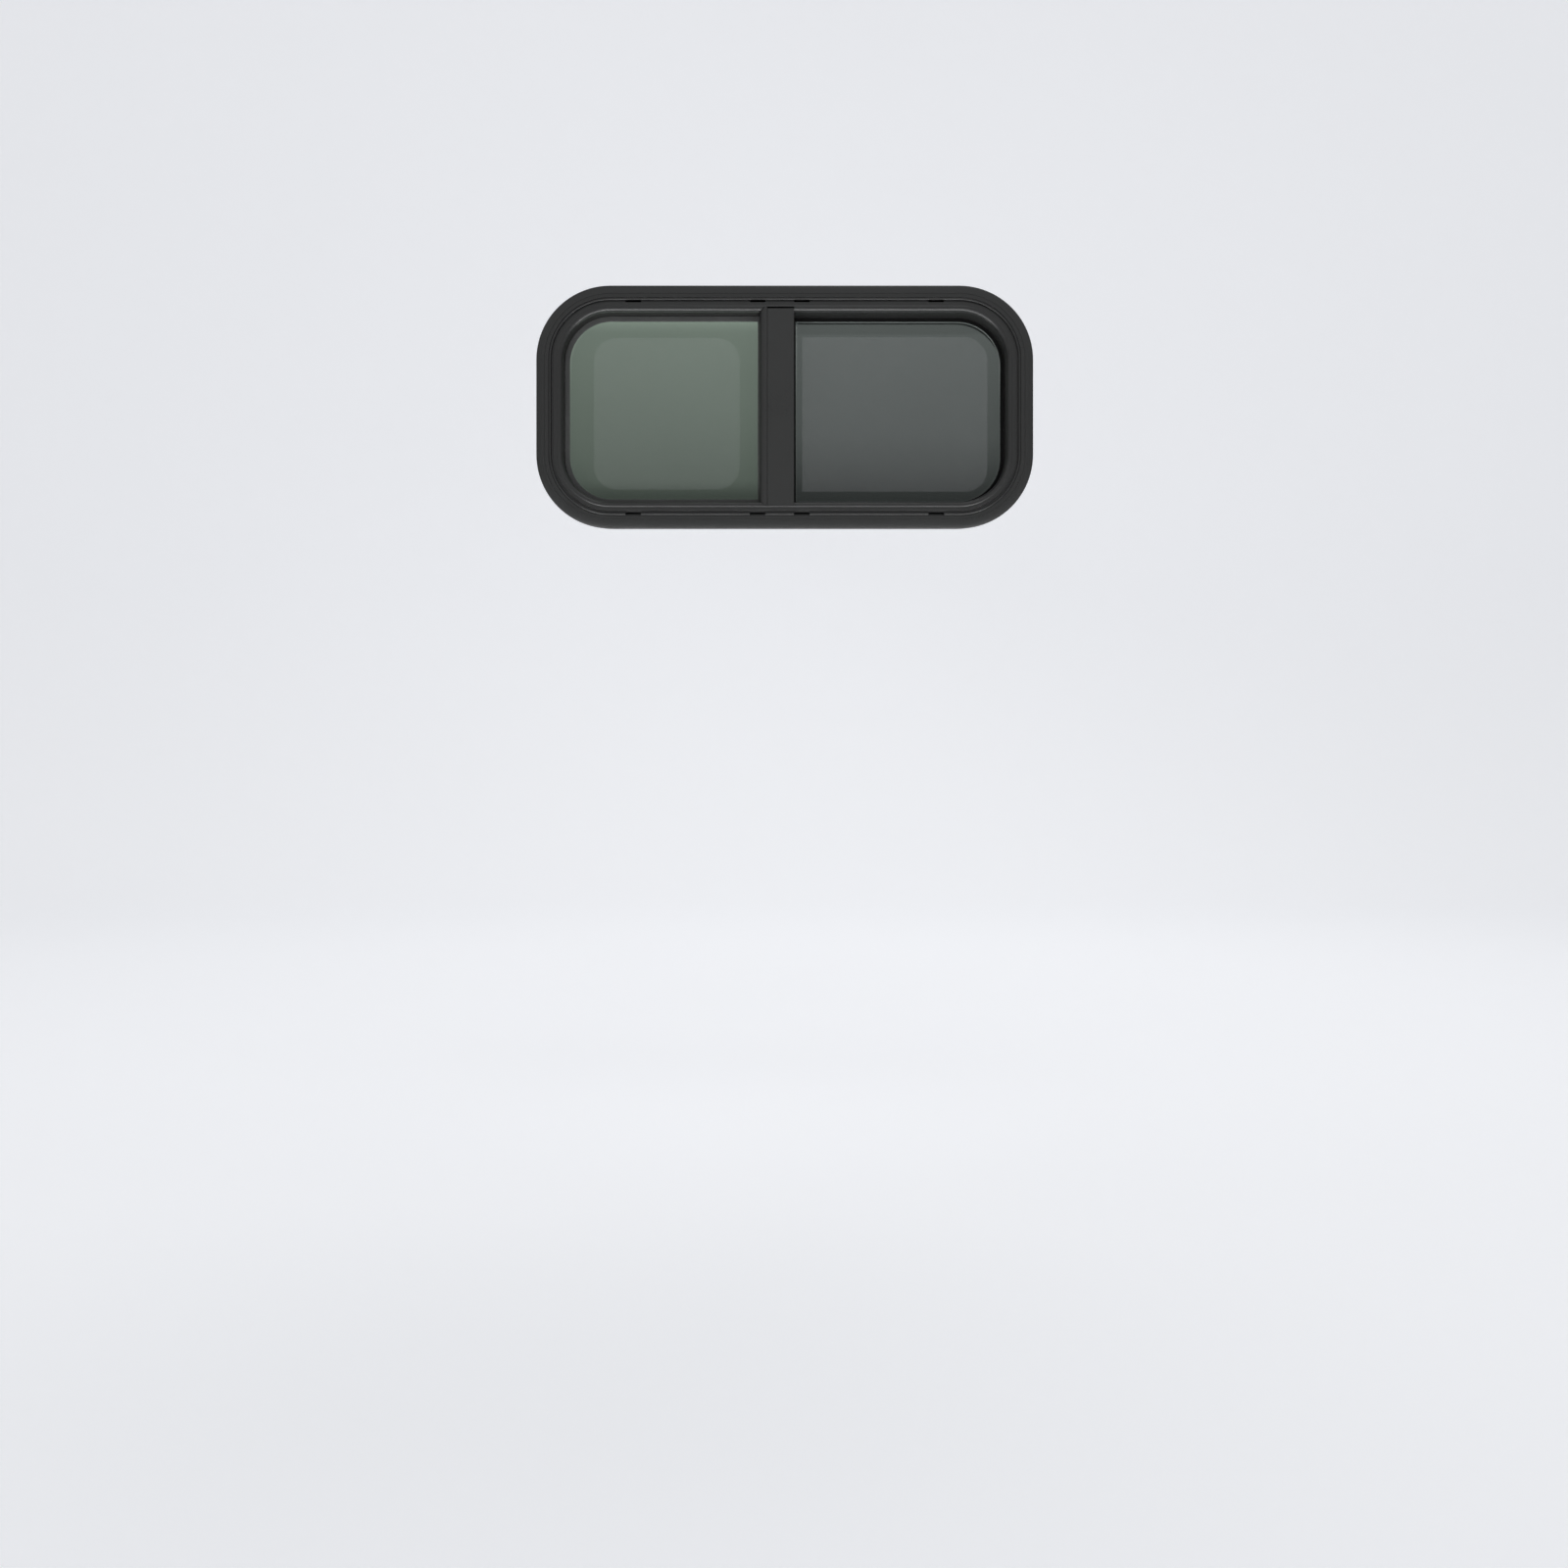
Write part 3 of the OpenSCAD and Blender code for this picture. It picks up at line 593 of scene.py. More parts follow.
def glass_face(name, colour, opacity, outline, foot_painted_shade, low_painted_shade, edge_painted_highlight, line_dull):
    """The tinted, coated face of a pane: smears, a duller line at the edge with a painted
    highlight, painted shade at the foot and lower down, and a painted band at the top.
    """
    graph = Graph(bpy.data.materials.new(name))
    place = graph.place()
    side, top = outline[0], outline[3]
    black, wide = (0.0, 0.0, 0.0), 1.0 * MM
    cloud = graph.noise(place, 5.0, 3.0)
    smear = graph.noise(graph.stretched(place, (1.0, 1.0, 3.2)), 26.0, 4.0, 0.6)
    height = graph.along(place)[2] - MIDDLE
    # painted highlight: a pale line along the visible edge, stronger towards the top, as if the
    # edge caught the light from above
    line = graph.clamped(1.6 - abs(past_edge(graph, *outline) + wide) / wide)
    line = line * (0.1 + 0.9 * graph.fade(height, 20 * MM, 110 * MM))
    base = graph.mix(cloud, shade(colour, 0.95), shade(colour, 1.05))
    # painted shade: the colour darkens towards the foot of the pane
    base = graph.mix(graph.fade(height, 34 * MM - top, -30 * MM) * foot_painted_shade, base, black)
    # painted shade: the colour darkens over the lower part of the pane
    base = graph.mix(graph.fade(height, -45 * MM, -90 * MM) * low_painted_shade, base, black)
    # painted top band: a painted reflection lightens the top of the fixed pane, and a painted shade
    # darkens a band just below the top of the sliding pane
    if side < 0:
        head = graph.fade(height, top - 26 * MM, 26 * MM)
        base = graph.mix(head * head, base, shade(colour, 1.38))
    else:
        head = graph.fade(height, top - 24 * MM, 3 * MM)
        base = graph.mix(head * 0.12, base, black)
    # the painted highlight along the edge lightens the colour
    base = graph.mix(line * edge_painted_highlight, base, shade(colour, 1.9))
    graph.surface(
        {
            "Base Color": base,
            "Metallic": graph.clamped(0.88 - line_dull * line),
            "Roughness": graph.clamped(0.05 + 0.03 * (smear - 0.5) + 0.2 * line),
            "IOR": 1.52,
            "Alpha": opacity,
            "Normal": graph.bump(cloud, 0.00005, 0.3),
        }
    )


def glass_back(name, colour):
    """The clear rear face and the ground edge of a pane."""
    graph = Graph(bpy.data.materials.new(name))
    place = graph.place()
    haze = graph.noise(place, 30.0, 4.0)
    graph.surface(
        {
            "Base Color": graph.mix(haze, shade(colour, 0.9), shade(colour, 1.1)),
            "Metallic": 0.7,
            "Roughness": graph.clamped(0.06 + 0.05 * haze),
            "IOR": 1.52,
            "Alpha": 0.5,
            "Normal": graph.bump(haze, 0.00001),
        }
    )


class WINDOW_OT_finishes(bpy.types.Operator):
    """Make every finish and give it to the pieces of the construction model that stay"""

    bl_idname = "caravan_window.finishes"
    bl_label = "Finishes"

    def execute(self, context):
        tone = context.scene.window_finishes
        size, sash = window()
        reveal = stations()[-1]
        powder_coat("satin_black_coat", tone.coat, 0.33, 900.0)
        powder_coat("inner_black_coat", tone.inner, 0.46, 1100.0)
        rubber_finish("black_rubber", tone.rubber, 0.62)
        # rubber of the runs and end seal, made ten times darker: painted shade for the deep shadow
        # of the gap round the sliding pane
        rubber_finish("run_rubber_painted_shade", shade(tone.rubber, 0.1), 0.85, 0.1)
        # a real pile seal, made nearly black: painted shadow for the dark gap beside the mullion
        rubber_finish("pile", shade(tone.rubber, 0.05), 0.95, 0.0)
        rubber_finish("butyl", shade(tone.rubber, 1.3), 0.9)
        plastic_finish("moulded_black", tone.plastic, 0.42)
        plastic_finish("glide_nylon", tone.nylon, 0.4)
        steel_finish("stainless_steel", tone.steel, 0.3)
        powder_coat("screen_wire", tone.wire, 0.45, 1600.0)
        # both panes' faces carry a painted highlight at the edge and painted shade at the foot and
        # lower down
        lip, end = reveal + sash.gasket_lip, Span("mullion_bead").x0 - 1.6 * MM
        seen = (-1, -HALF_W + lip, end, HALF_H - lip, size.corner_r - lip)
        glass_face(
            "green_glass_face", tone.green, 0.945, seen,
            foot_painted_shade=0.32, low_painted_shade=0.06, edge_painted_highlight=0.6, line_dull=0.0,
        )
        lip, end = reveal + sash.run_lip, Span("meeting_pile").x1 + 0.3 * MM
        seen = (1, end, HALF_W - lip, HALF_H - lip, size.corner_r - lip)
        glass_face(
            "grey_glass_face", tone.grey, 0.90, seen,
            foot_painted_shade=0.20, low_painted_shade=0.30, edge_painted_highlight=0.85, line_dull=0.6,
        )
        glass_back("clear_glass_edge", (0.085, 0.105, 0.088))
        kept = {
            "flange_seal": "butyl",
            "mullion_top_seal": "pile",
            "meeting_pile": "pile",
            "stop_bumpers": "black_rubber",
            "sash_glides": "glide_nylon",
            "latch_bolt": "stainless_steel",
        }
        for node, finish in kept.items():
            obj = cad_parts[node]
            obj.data.materials.clear()
            obj.data.materials.append(material(finish))
        return {"FINISHED"}


# ---- outer frame


def frame_section(size):
    """The extrusion's section, as (distance in, level), with its small edges eased."""
    bead, groove, ring, nose, reveal = stations()
    out, land = size.ring_out, size.land
    back = Span("main_frame").back
    wide = size.nose_w * 0.25
    foot = -1 * MM
    crown = out + size.nose_rise
    start = 0.8 * MM
    line, dent = land - 7.5 * MM, 0.5 * MM
    top, gap, drain = out - 1.4 * MM, out - 2.6 * MM, 2.8 * MM
    tape_in, tape_out, tape_deep = 13 * MM, 3 * MM, 1.2 * MM
    dome = [
        (start + (land - start) * u, size.edge_t + (top - size.edge_t) * (1 - (1 - u) ** 3))
        for u in [v**1.6 for v in steps(20)]
    ]
    quarter = math.pi / 2
    rise = [(nose + wide * u, out + size.nose_rise * math.sin(quarter * u)) for u in steps(8)[1:]]
    return eased(
        [(tape_out, 0.0), (0.0, 0.0, 0.2 * MM)]
        + arc(start, size.edge_t - start, start, start, 180, 100, 4)
        + [point for point in dome if point[0] < line - 0.5 * MM]
        + [(line, top), (line + 0.2 * MM, top - dent)]
        + [(line + 1.0 * MM, top - dent), (line + 1.2 * MM, top)]
        + [(*dome[-1], 0.3 * MM)]
        + [(land + 0.2 * MM, gap), (bead - 0.2 * MM, gap)]
        + arc(bead + size.bead_w / 2, out - 2.2 * MM, size.bead_w / 2, 1.8 * MM, 180, 0, 16)
        + [(groove + 0.2 * MM, drain, 0.3 * MM), (ring - 0.4 * MM, drain, 0.3 * MM)]
        + [(ring, out - 0.1 * MM, 0.5 * MM), (nose, out)]
        + rise
        + arc(nose + wide, foot, size.nose_w - wide, crown - foot, 84, 0, 24)
        + [(reveal, back, 0.3 * MM), (size.lap, back, 0.3 * MM), (size.lap, 0.0), (tape_in, 0.0)]
        + [(tape_in, tape_deep), (tape_out, tape_deep)]
    )


def chamber_section(size):
    """The hollow inside the extrusion."""
    _, _, _, nose, reveal = stations()
    back = Span("main_frame").back
    wall, web = size.skin_t, 1.6 * MM
    return [
        (size.lap + wall, back + wall), (size.lap + wall, web), (nose, web),
        (nose + 2 * MM, size.ring_out - wall), (reveal - wall - 3.6 * MM, size.ring_out - wall),
        (reveal - wall, -1 * MM), (reveal - wall, back + wall),
    ]


def notch_outline(side, grow):
    """Room in the nose for the mullion and its bead, at the upper or the lower end."""
    _, _, _, nose, reveal = stations()
    bar_span, bead = Span("mullion"), Span("mullion_bead")
    y0, y1 = HALF_H - reveal - 1 * MM, HALF_H - nose - 2 * MM + grow
    x0, x1 = bead.x0 - grow, bar_span.x1 + grow
    points = [(x0, y0), (x0, y0 + 1 * MM), (bar_span.x0 - 5 * MM - grow, y1), (x1, y1), (x1, y0)]
    return [(x, side * y) for x, y in points]


class WINDOW_OT_frame(bpy.types.Operator):
    """Make the bent aluminium frame with its weep slots"""

    bl_idname = "caravan_window.frame"
    bl_label = "Outer frame"

    def execute(self, context):
        size = window()[0]
        bm, hollow, tool = bmesh.new(), bmesh.new(), bmesh.new()
        for mesh, section in ((bm, frame_section(size)), (hollow, chamber_section(size))):
            skin(mesh, [ring_row(d, level, size.corner_r - d) for d, level in section])
        near = Span("mullion").x - 2 * MM
        half, r = size.slot_len / 2, size.slot_h / 2
        slot_y = HALF_H - stations()[1] - size.groove_w / 2
        # the upper slots lie in the groove, and the lower ones reach down through the bead
        rows = ((slot_y + 0.7 * MM, 0.0), (-slot_y - 2.85 * MM, 1.9 * MM))
        for x in (-size.slot_far, near - size.slot_near, near + size.slot_near, size.slot_far):
            for y, deep in rows:
                shape = loop(x - half, x + half, y - r - deep, y + r, [r * 0.98] * 4, 8)
                prism(tool, shape, 0.6 * MM, size.ring_out + 1 * MM)
        for side in (-1, 1):
            prism(tool, notch_outline(side, 0.1 * MM), 2.5 * MM, size.ring_out + 3 * MM)
        piece("frame_extrusion", bm, "satin_black_coat", ["main_frame"], [hollow, tool])
        return {"FINISHED"}


def make_mullion_bead(legs, foot):
    """The bead on the fixed side: a flat with a fine joint, a quarter round and mitred ends."""
    size, bead = window()[0], Span("mullion_bead")
    _, _, _, nose, reveal = stations()
    level, past, flat_x = bead.front, 2 * MM, bead.x1 - size.bead_flat
    joint, deep, low = bead.x1 - 0.9 * MM, level - 3 * MM, -3 * MM
    profile = [(bead.x1, bead.back), (bead.x1, deep), (joint, deep), (joint, level, 0.4 * MM)]
    profile.append((flat_x, level))
    profile += arc(flat_x, -1 * MM, flat_x - bead.x0 - 1 * MM, level + 1 * MM, 90, 180, 20)[1:]
    profile += [(bead.x0, low, 0.4 * MM), (bead.x0, bead.back)]
    end = HALF_H - nose + past
    bm, mitre, square = bmesh.new(), bmesh.new(), bmesh.new()
    bar(bm, eased(profile, 4), -end, end)
    left, right = bead.x0 - past, bead.x1 + past
    y0, y1 = HALF_H - reveal, HALF_H - nose - past
    slope = [(left, y0), (bead.x0, y0), (bead.x1 - 5 * MM, y1), (right, y1)]
    slope += [(right, HALF_H), (left, HALF_H)]
    for side in (-1, 1):
        prism(mitre, [(x, side * y) for x, y in slope], foot, level + 5 * MM)
        ends = [(x, side * y) for x, y in oblong(left, right, legs, HALF_H)]
        prism(square, ends, bead.back - 5 * MM, foot + 0.01 * MM)
    piece("mullion_bead_trim", bm, "satin_black_coat", ["mullion_bead"], [mitre, square])


class WINDOW_OT_mullion(bpy.types.Operator):
    """Make the mullion and the bead on its fixed side"""

    bl_idname = "caravan_window.mullion"
    bl_label = "Mullion"

    def execute(self, context):
        span = Span("mullion")
        wall, foot, join = 2.4 * MM, 2.6 * MM, 0.5 * MM
        legs = HALF_H - stations()[-1] - 0.1 * MM
        face = [
            (span.x0, foot), (span.x0, span.front, 0.5 * MM), (span.x1, span.front, 1.1 * MM),
            (span.x1, foot, 0.3 * MM), (span.x1 - wall, foot), (span.x0 + wall, foot),
        ]
        hook, toe = span.back + 0.5 * MM, span.x1 - 3 * wall
        hooked = [
            (toe, hook), (span.x1, hook), (span.x1, foot + join), (span.x1 - wall, foot + join),
            (span.x1 - wall, hook + wall), (toe, hook + wall),
        ]
        bm, tool = bmesh.new(), bmesh.new()
        bar(bm, eased(face, 5), span.y0, span.y1)
        bar(tool, oblong(span.x0, span.x0 + wall, span.back, foot + join), -legs, legs)
        bar(tool, hooked, -legs, legs)
        piece("mullion_bar", bm, "satin_black_coat", ["mullion"], joins=[tool])
        make_mullion_bead(legs, foot)
        return {"FINISHED"}


# ---- panes and seals


def pane_rows(span, side, r, arris):
    """A slab with ground edges. Its corners are round on one side only."""
    small = 1.2 * MM
    rows = []
    for inset, level in (
        (arris, span.front),
        (arris * 0.3, span.front - arris * 0.3),
        (0.0, span.front - arris),
        (0.0, span.back + arris),
        (arris * 0.3, span.back + arris * 0.3),
        (arris, span.back),
    ):
        wide = r - inset
        radii = [small, wide, wide, small] if side < 0 else [wide, small, small, wide]
        rows.append(lifted(span.outline(inset, radii), level))
    return rows


class WINDOW_OT_panes(bpy.types.Operator):
    """Make the fixed pane and the sliding pane"""

    bl_idname = "caravan_window.panes"
    bl_label = "Panes"

    def execute(self, context):
        size, sash = window()
        for name, node, side, finish in (
            ("fixed_pane", "fixed_glass", -1, "green_glass_face"),
            ("sliding_pane", "sliding_glass", 1, "grey_glass_face"),
        ):
            span = Span(node)
            r = size.corner_r - (HALF_H - span.y1)
            rows = pane_rows(span, side, r, sash.arris)
            bm = skin(bmesh.new(), rows, closed_section=False)
            obj = piece(name, bm, finish, [node], edges=["clear_glass_edge"], angle=12)
            for face in obj.data.polygons:
                face.material_index = 0 if face.normal.y < -0.9 else 1
        return {"FINISHED"}


def run_section():
    """Channel that takes the edge of the sliding pane, as (distance in, level)."""
    pane, sash = Span("sliding_glass"), window()[1]
    reveal = stations()[-1]
    lip, base, wall = reveal + sash.run_lip, reveal + 1.2 * MM, sash.run_t
    gap = 0.1 * MM
    return eased(
        [
            (reveal + gap, pane.front + wall), (lip, pane.front + wall, 0.7 * MM),
            (lip, pane.front + gap, 0.3 * MM), (base, pane.front + gap),
            (base, pane.back - gap), (lip, pane.back - gap, 0.3 * MM),
            (lip, pane.back - wall, 0.7 * MM), (reveal + gap, pane.back - wall),
        ],
        4,
    )


def make_gasket():
    """The gasket of the fixed pane: a channel whose front lip is the one that shows."""
    size, sash = window()
    glass, gasket = Span("fixed_glass"), Span("fixed_gasket")
    lip = stations()[-1] + sash.gasket_lip
    back_lip = lip - sash.gasket_lip * 0.4
    edge, touch, small = HALF_H - glass.y1, 0.02 * MM, 0.8 * MM
    outer, wall_x, lip_x = HALF_H - gasket.y1, gasket.x1, Span("mullion_bead").x0 - 1.6 * MM
    rows = []
    for inset, right, level in (
        (outer, wall_x, gasket.back),
        (outer, wall_x, gasket.front - 0.3 * MM),
        (outer + 0.3 * MM, wall_x - 0.3 * MM, gasket.front),
        (outer + 1.6 * MM, wall_x - 1.6 * MM, gasket.front - 0.1 * MM),
        (lip - 1.4 * MM, lip_x - 1.4 * MM, gasket.front - 1.0 * MM),
        (lip - 0.5 * MM, lip_x - 0.5 * MM, gasket.front - 1.25 * MM),
        (lip - 0.1 * MM, lip_x - 0.1 * MM, gasket.front - 1.6 * MM),
        (lip, lip_x, glass.front + touch),
        (edge, glass.x1, glass.front + touch),
        (edge, glass.x1, glass.back - touch),
        (back_lip, lip_x + 4 * MM, glass.back - touch),
        (back_lip, lip_x + 4 * MM, gasket.back + 0.4 * MM),
        (back_lip - 0.4 * MM, lip_x + 4.4 * MM, gasket.back),
    ):
        r, half_h = size.corner_r - inset, HALF_H - inset
        flat = loop(-HALF_W + inset, right, -half_h, half_h, [small, r, r, small])
        rows.append(lifted(flat, level))
    piece("pane_gasket", skin(bmesh.new(), rows), "black_rubber", ["fixed_gasket"])


def make_runs():
    """The upper and the lower run, and the seal that goes round the right end."""
    size = window()[0]
    section = run_section()
    end, corner_y = HALF_W - size.corner_r, HALF_H - size.corner_r
    for name, node, side in (("upper_run", "top_run", 1), ("lower_run", "bottom_run", -1)):
        rows = [(side * (HALF_H - d), level) for d, level in section]
        piece(name, bar(bmesh.new(), rows, -end, end, "x"), "run_rubber_painted_shade", [node])
    rows = []
    for d, level in section:
        r = size.corner_r - d
        high = arc(end, corner_y, r, r, 90, 0, 24)
        rows.append(lifted(high + [(x, -y) for x, y in reversed(high)], level))
    piece("end_seal", skin(bmesh.new(), rows, closed_path=False), "run_rubber_painted_shade", ["jamb_seal"])


class WINDOW_OT_seals(bpy.types.Operator):
    """Make the gasket of the fixed pane, the runs and the end seal"""

    bl_idname = "caravan_window.seals"
    bl_label = "Gasket, runs and seal"

    def execute(self, context):
        make_gasket()
        make_runs()
        return {"FINISHED"}


# ---- inner side


def make_stile():
    """The stile at the sash's open edge, with the groove that holds the pane."""
    stile, glass = Span("meeting_stile"), Span("sliding_glass")
    lip, step = 2 * MM, 0.6 * MM
    section = [
        (stile.x0, stile.back + lip, 0.3 * MM), (stile.x0, stile.front, 0.4 * MM),
        (stile.x1, stile.front, 0.4 * MM), (stile.x1, glass.front, 0.2 * MM),
        (glass.x0, glass.front), (glass.x0, glass.back), (stile.x1, glass.back, 0.2 * MM),
        (stile.x1, stile.back + step, 0.3 * MM), (stile.x1 - lip, stile.back + step),
        (stile.x1 - lip, stile.back, 0.4 * MM), (stile.x0 + lip, stile.back, 0.4 * MM),
        (stile.x0 + lip, stile.back + lip),
    ]
    bm = bar(bmesh.new(), eased(section), stile.y0, stile.y1)
    piece("stile_profile", bm, "inner_black_coat", ["meeting_stile"])


def make_pull():
    """The plate with its ridge and finger grooves, and its two screws."""
    pull, screws = Span("finger_pull"), Span("pull_screws")
    wide, tall = pull.x1 - pull.x, pull.y1 - pull.y
    ridge, foot = 3 * MM, tall - 20 * MM
    base, face, back = pull.front, pull.front - 2.0 * MM, pull.back
    bm, tool = bmesh.new(), bmesh.new()
    stack = (
        (wide, tall, 0.0, base),
        (wide, tall, 0.0, base - 1.3 * MM),
        (wide, tall, 0.25 * MM, base - 1.75 * MM),
        (wide, tall, 0.8 * MM, face),
        (ridge, foot, -1.4 * MM, face),
        (ridge, foot, -0.5 * MM, base - 2.4 * MM),
        (ridge, foot, 0.0, base - 3.4 * MM),
        (ridge, foot, 0.0, back + 1.0 * MM),
        (ridge, foot, 0.35 * MM, back + 0.35 * MM),
        (ridge, foot, 1.0 * MM, back),
    )
    raised(bm, [(stadium(pull.x, pull.y, w - inset, l - inset), z) for w, l, inset, z in stack])
    for i in range(13):
        y = pull.y + (i - 6) * 5.5 * MM
        for side in (-1, 1):
            x = pull.x + side * (ridge + 0.6 * MM)
            prism(tool, stadium(x, y, 1.1 * MM, 1.4 * MM, 5), base - 3.2 * MM, back - 1 * MM)
    piece("pull_plate", bm, "moulded_black", ["finger_pull"], [tool])

    bm, tool = bmesh.new(), bmesh.new()
    r = (screws.x1 - screws.x0) / 2
    for y in (screws.y0 + r, screws.y1 - r):
        pan_head(bm, tool, pull.x, y, face, r, face - screws.back, 1.6 * MM, screws.front)
    piece("pull_screw_heads", bm, "stainless_steel", ["pull_screws"], [tool])


def make_latch():
    """The latch's case with its slider, and the keeper that takes the bolt."""
    body, knob, bolt, keeper = [Span(f"latch_{n}") for n in ("body", "knob", "bolt", "keeper")]
    past = 1 * MM
    bm, tool = bmesh.new(), bmesh.new()
    edges = [(0.0, 1.4 * MM), (0.3 * MM, 0.6 * MM), (0.8 * MM, 0.15 * MM), (1.6 * MM, 0.0)]
    moulding(bm, body, 2.6 * MM, 1.0, edges, 8)
    high, half, travel = body.y1 - 12 * MM, 6 * MM, 26 * MM
    slot = loop(body.x - half, body.x + half, high - travel, high, [1.2 * MM] * 4, 6)
    prism(tool, slot, body.back - past, bolt.front + 0.1 * MM)
    bore(tool, bolt.x, bolt.level, 2.6 * MM, body.y0 - past, high - travel - past)
    piece("latch_case", bm, "moulded_black", ["latch_body"], [tool])

    bm, tool = bmesh.new(), bmesh.new()
    moulding(bm, knob, 1.2 * MM, 0.8, [(0.0, 0.5 * MM), (0.4 * MM, 0.1 * MM), (0.9 * MM, 0.0)], 5)
    grooves(tool, knob, [knob.y0 + (i + 1) * 2.4 * MM for i in range(5)], 0.4 * MM, 0.5 * MM)
    piece("latch_slider", bm, "stainless_steel", ["latch_knob"], [tool])

    section = [(keeper.x0, keeper.back), (keeper.x0, keeper.front)]
    section += [(keeper.x1, keeper.front), (keeper.x1, keeper.back)]
    bm, tool = bmesh.new(), bmesh.new()
    bar(bm, eased([(*point, 0.5 * MM) for point in section]), keeper.y0, keeper.y1)
    hole_r = window()[1].bolt_hole_r
    bore(tool, body.x, bolt.level, hole_r, keeper.y0 - past, keeper.y1 + past)
    piece("keeper_block", bm, "stainless_steel", ["latch_keeper"], [tool])


class WINDOW_OT_sash(bpy.types.Operator):
    """Make the meeting stile, its pull and its latch"""

    bl_idname = "caravan_window.sash"
    bl_label = "Stile, pull and latch"

    def execute(self, context):
        make_stile()
        make_pull()
        make_latch()
        return {"FINISHED"}


def pan_head(bm, tool, x, y, seat, r, rise, shank_r, tip):
    """A pan head screw that looks into the room, with its crossed recess in a cutting tool."""
    profile = [
        (shank_r * 0.6, seat - tip), (shank_r, seat - tip + 0.8 * MM), (shank_r, 0.0),
        (r * 0.98, 0.0), (r, rise * 0.15), (r, rise * 0.38), (r * 0.95, rise * 0.6),
        (r * 0.82, rise * 0.8), (r * 0.6, rise * 0.94), (r * 0.3, rise),
    ]
    turned(bm, x, y, seat, -1, profile)
    arm, half = r * 0.56, r * 0.13
    cross = []
    for c, s in ((1, 0), (0, 1), (-1, 0), (0, -1)):
        for u, v in ((arm, -half), (arm, half), (half, half)):
            cross.append((x + c * u - s * v, y + s * u + c * v))
    prism(tool, cross, seat - rise * 1.4, seat - rise * 0.42)


def make_clamp_ring():
    """The ring, whose corners close in towards the opening inside, and its screws."""
    size, sash = window()
    span, bolt, screws = Span("clamp_ring"), Span("latch_bolt"), Span("clamp_screws")
    edge, clear, blend = HALF_H - span.y1, sash.clear_in, 0.050
    face, wall, sheet, ease = span.back, span.front, 2.2 * MM, 0.3 * MM
    under, sunk, sill = face + sheet, face + 1.5 * MM, Span("pocket_liner").front
    c0 = size.lap + 5 * MM
    c1, leg = c0 + 14 * MM, edge + 8 * MM
    shape = [
        (edge, wall, ease), (edge, face, 1.8 * MM), (c0 - 0.5 * MM, face, 0.5 * MM),
        (c0 + 0.5 * MM, sunk, 0.5 * MM), (c1 - 0.5 * MM, sunk, 0.5 * MM),
        (c1 + 0.5 * MM, face, 0.5 * MM), (clear, face, 1.6 * MM), (clear, sill, ease),
        (clear - sheet, sill, ease), (clear - sheet, under, 0.6 * MM), (c1 + sheet, under),
        (c1 + sheet * 0.7, sunk + sheet), (c0 - sheet * 0.7, sunk + sheet), (c0 - sheet, under),
        (leg + sheet, under), (leg + sheet, wall, ease), (leg, wall, ease), (leg, under),
        (edge + sheet, under), (edge + sheet, wall, ease),
    ]
    first_r = size.corner_r - blend
    rows = []
    for d, level in eased(shape, 5):
        r = size.corner_r - d
        if d > blend:
            r = first_r + (sash.clear_r - first_r) * (d - blend) / (clear - blend)
        rows.append(ring_row(d, level, r))
    bm, tool = bmesh.new(), bmesh.new()
    skin(bm, rows)
    low = -HALF_H + clear
    bore(tool, bolt.x, bolt.level, sash.bolt_hole_r, low - 5 * MM, low + 3 * MM)
    for x, y in screw_places():
        turned(tool, x, y, sunk - 1 * MM, 1, [(2.4 * MM, 0.0), (2.4 * MM, 6 * MM)])
    piece("clamp_trim", bm, "inner_black_coat", ["clamp_ring"], [tool])

    bm, tool = bmesh.new(), bmesh.new()
    for x, y in screw_places():
        pan_head(bm, tool, x, y, sunk, sash.head_r, sunk - screws.back, 2.1 * MM, screws.front)
    piece("clamp_screw_heads", bm, "stainless_steel", ["clamp_screws"], [tool])


def make_liner():
    """The liner, a closed frame round the pocket that the sash slides into."""
    liner, r = Span("pocket_liner"), window()[1].clear_r
    pocket, arm, post, ease = 21.9 * MM, 3.9 * MM, 48 * MM, 0.3 * MM
    rows = []
    for inset, inner, level in (
        (0.0, 0, liner.front - ease),
        (ease, 0, liner.front),
        (-ease, 1, liner.front),
        (0.0, 1, liner.front - ease),
        (0.0, 1, liner.back + ease),
        (-ease, 1, liner.back),
        (ease, 0, liner.back),
        (0.0, 0, liner.back + ease),
    ):
        x0 = liner.x0 + inner * pocket + inset
        x1 = liner.x1 - inner * post - inset
        y1 = liner.y1 - inner * arm - inset
        right_r = r if inner else 0.5 * MM
        rows.append(lifted(loop(x0, x1, -y1, y1, [right_r, r, r, right_r], 16), level))
    piece("liner_moulding", skin(bmesh.new(), rows), "moulded_black", ["pocket_liner"])


class WINDOW_OT_clamp(bpy.types.Operator):
    """Make the clamp ring, its screws and the liner of the pocket"""

    bl_idname = "caravan_window.clamp"
    bl_label = "Clamp ring"

    def execute(self, context):
        make_clamp_ring()
        make_liner()
        return {"FINISHED"}


def screen_row(span, inset, level, r):
    """One line of the screen's frame: square corners on the left, round ones on the right."""
    small = 0.5 * MM
    return lifted(span.outline(inset, [r - inset, small, small, r - inset]), level)


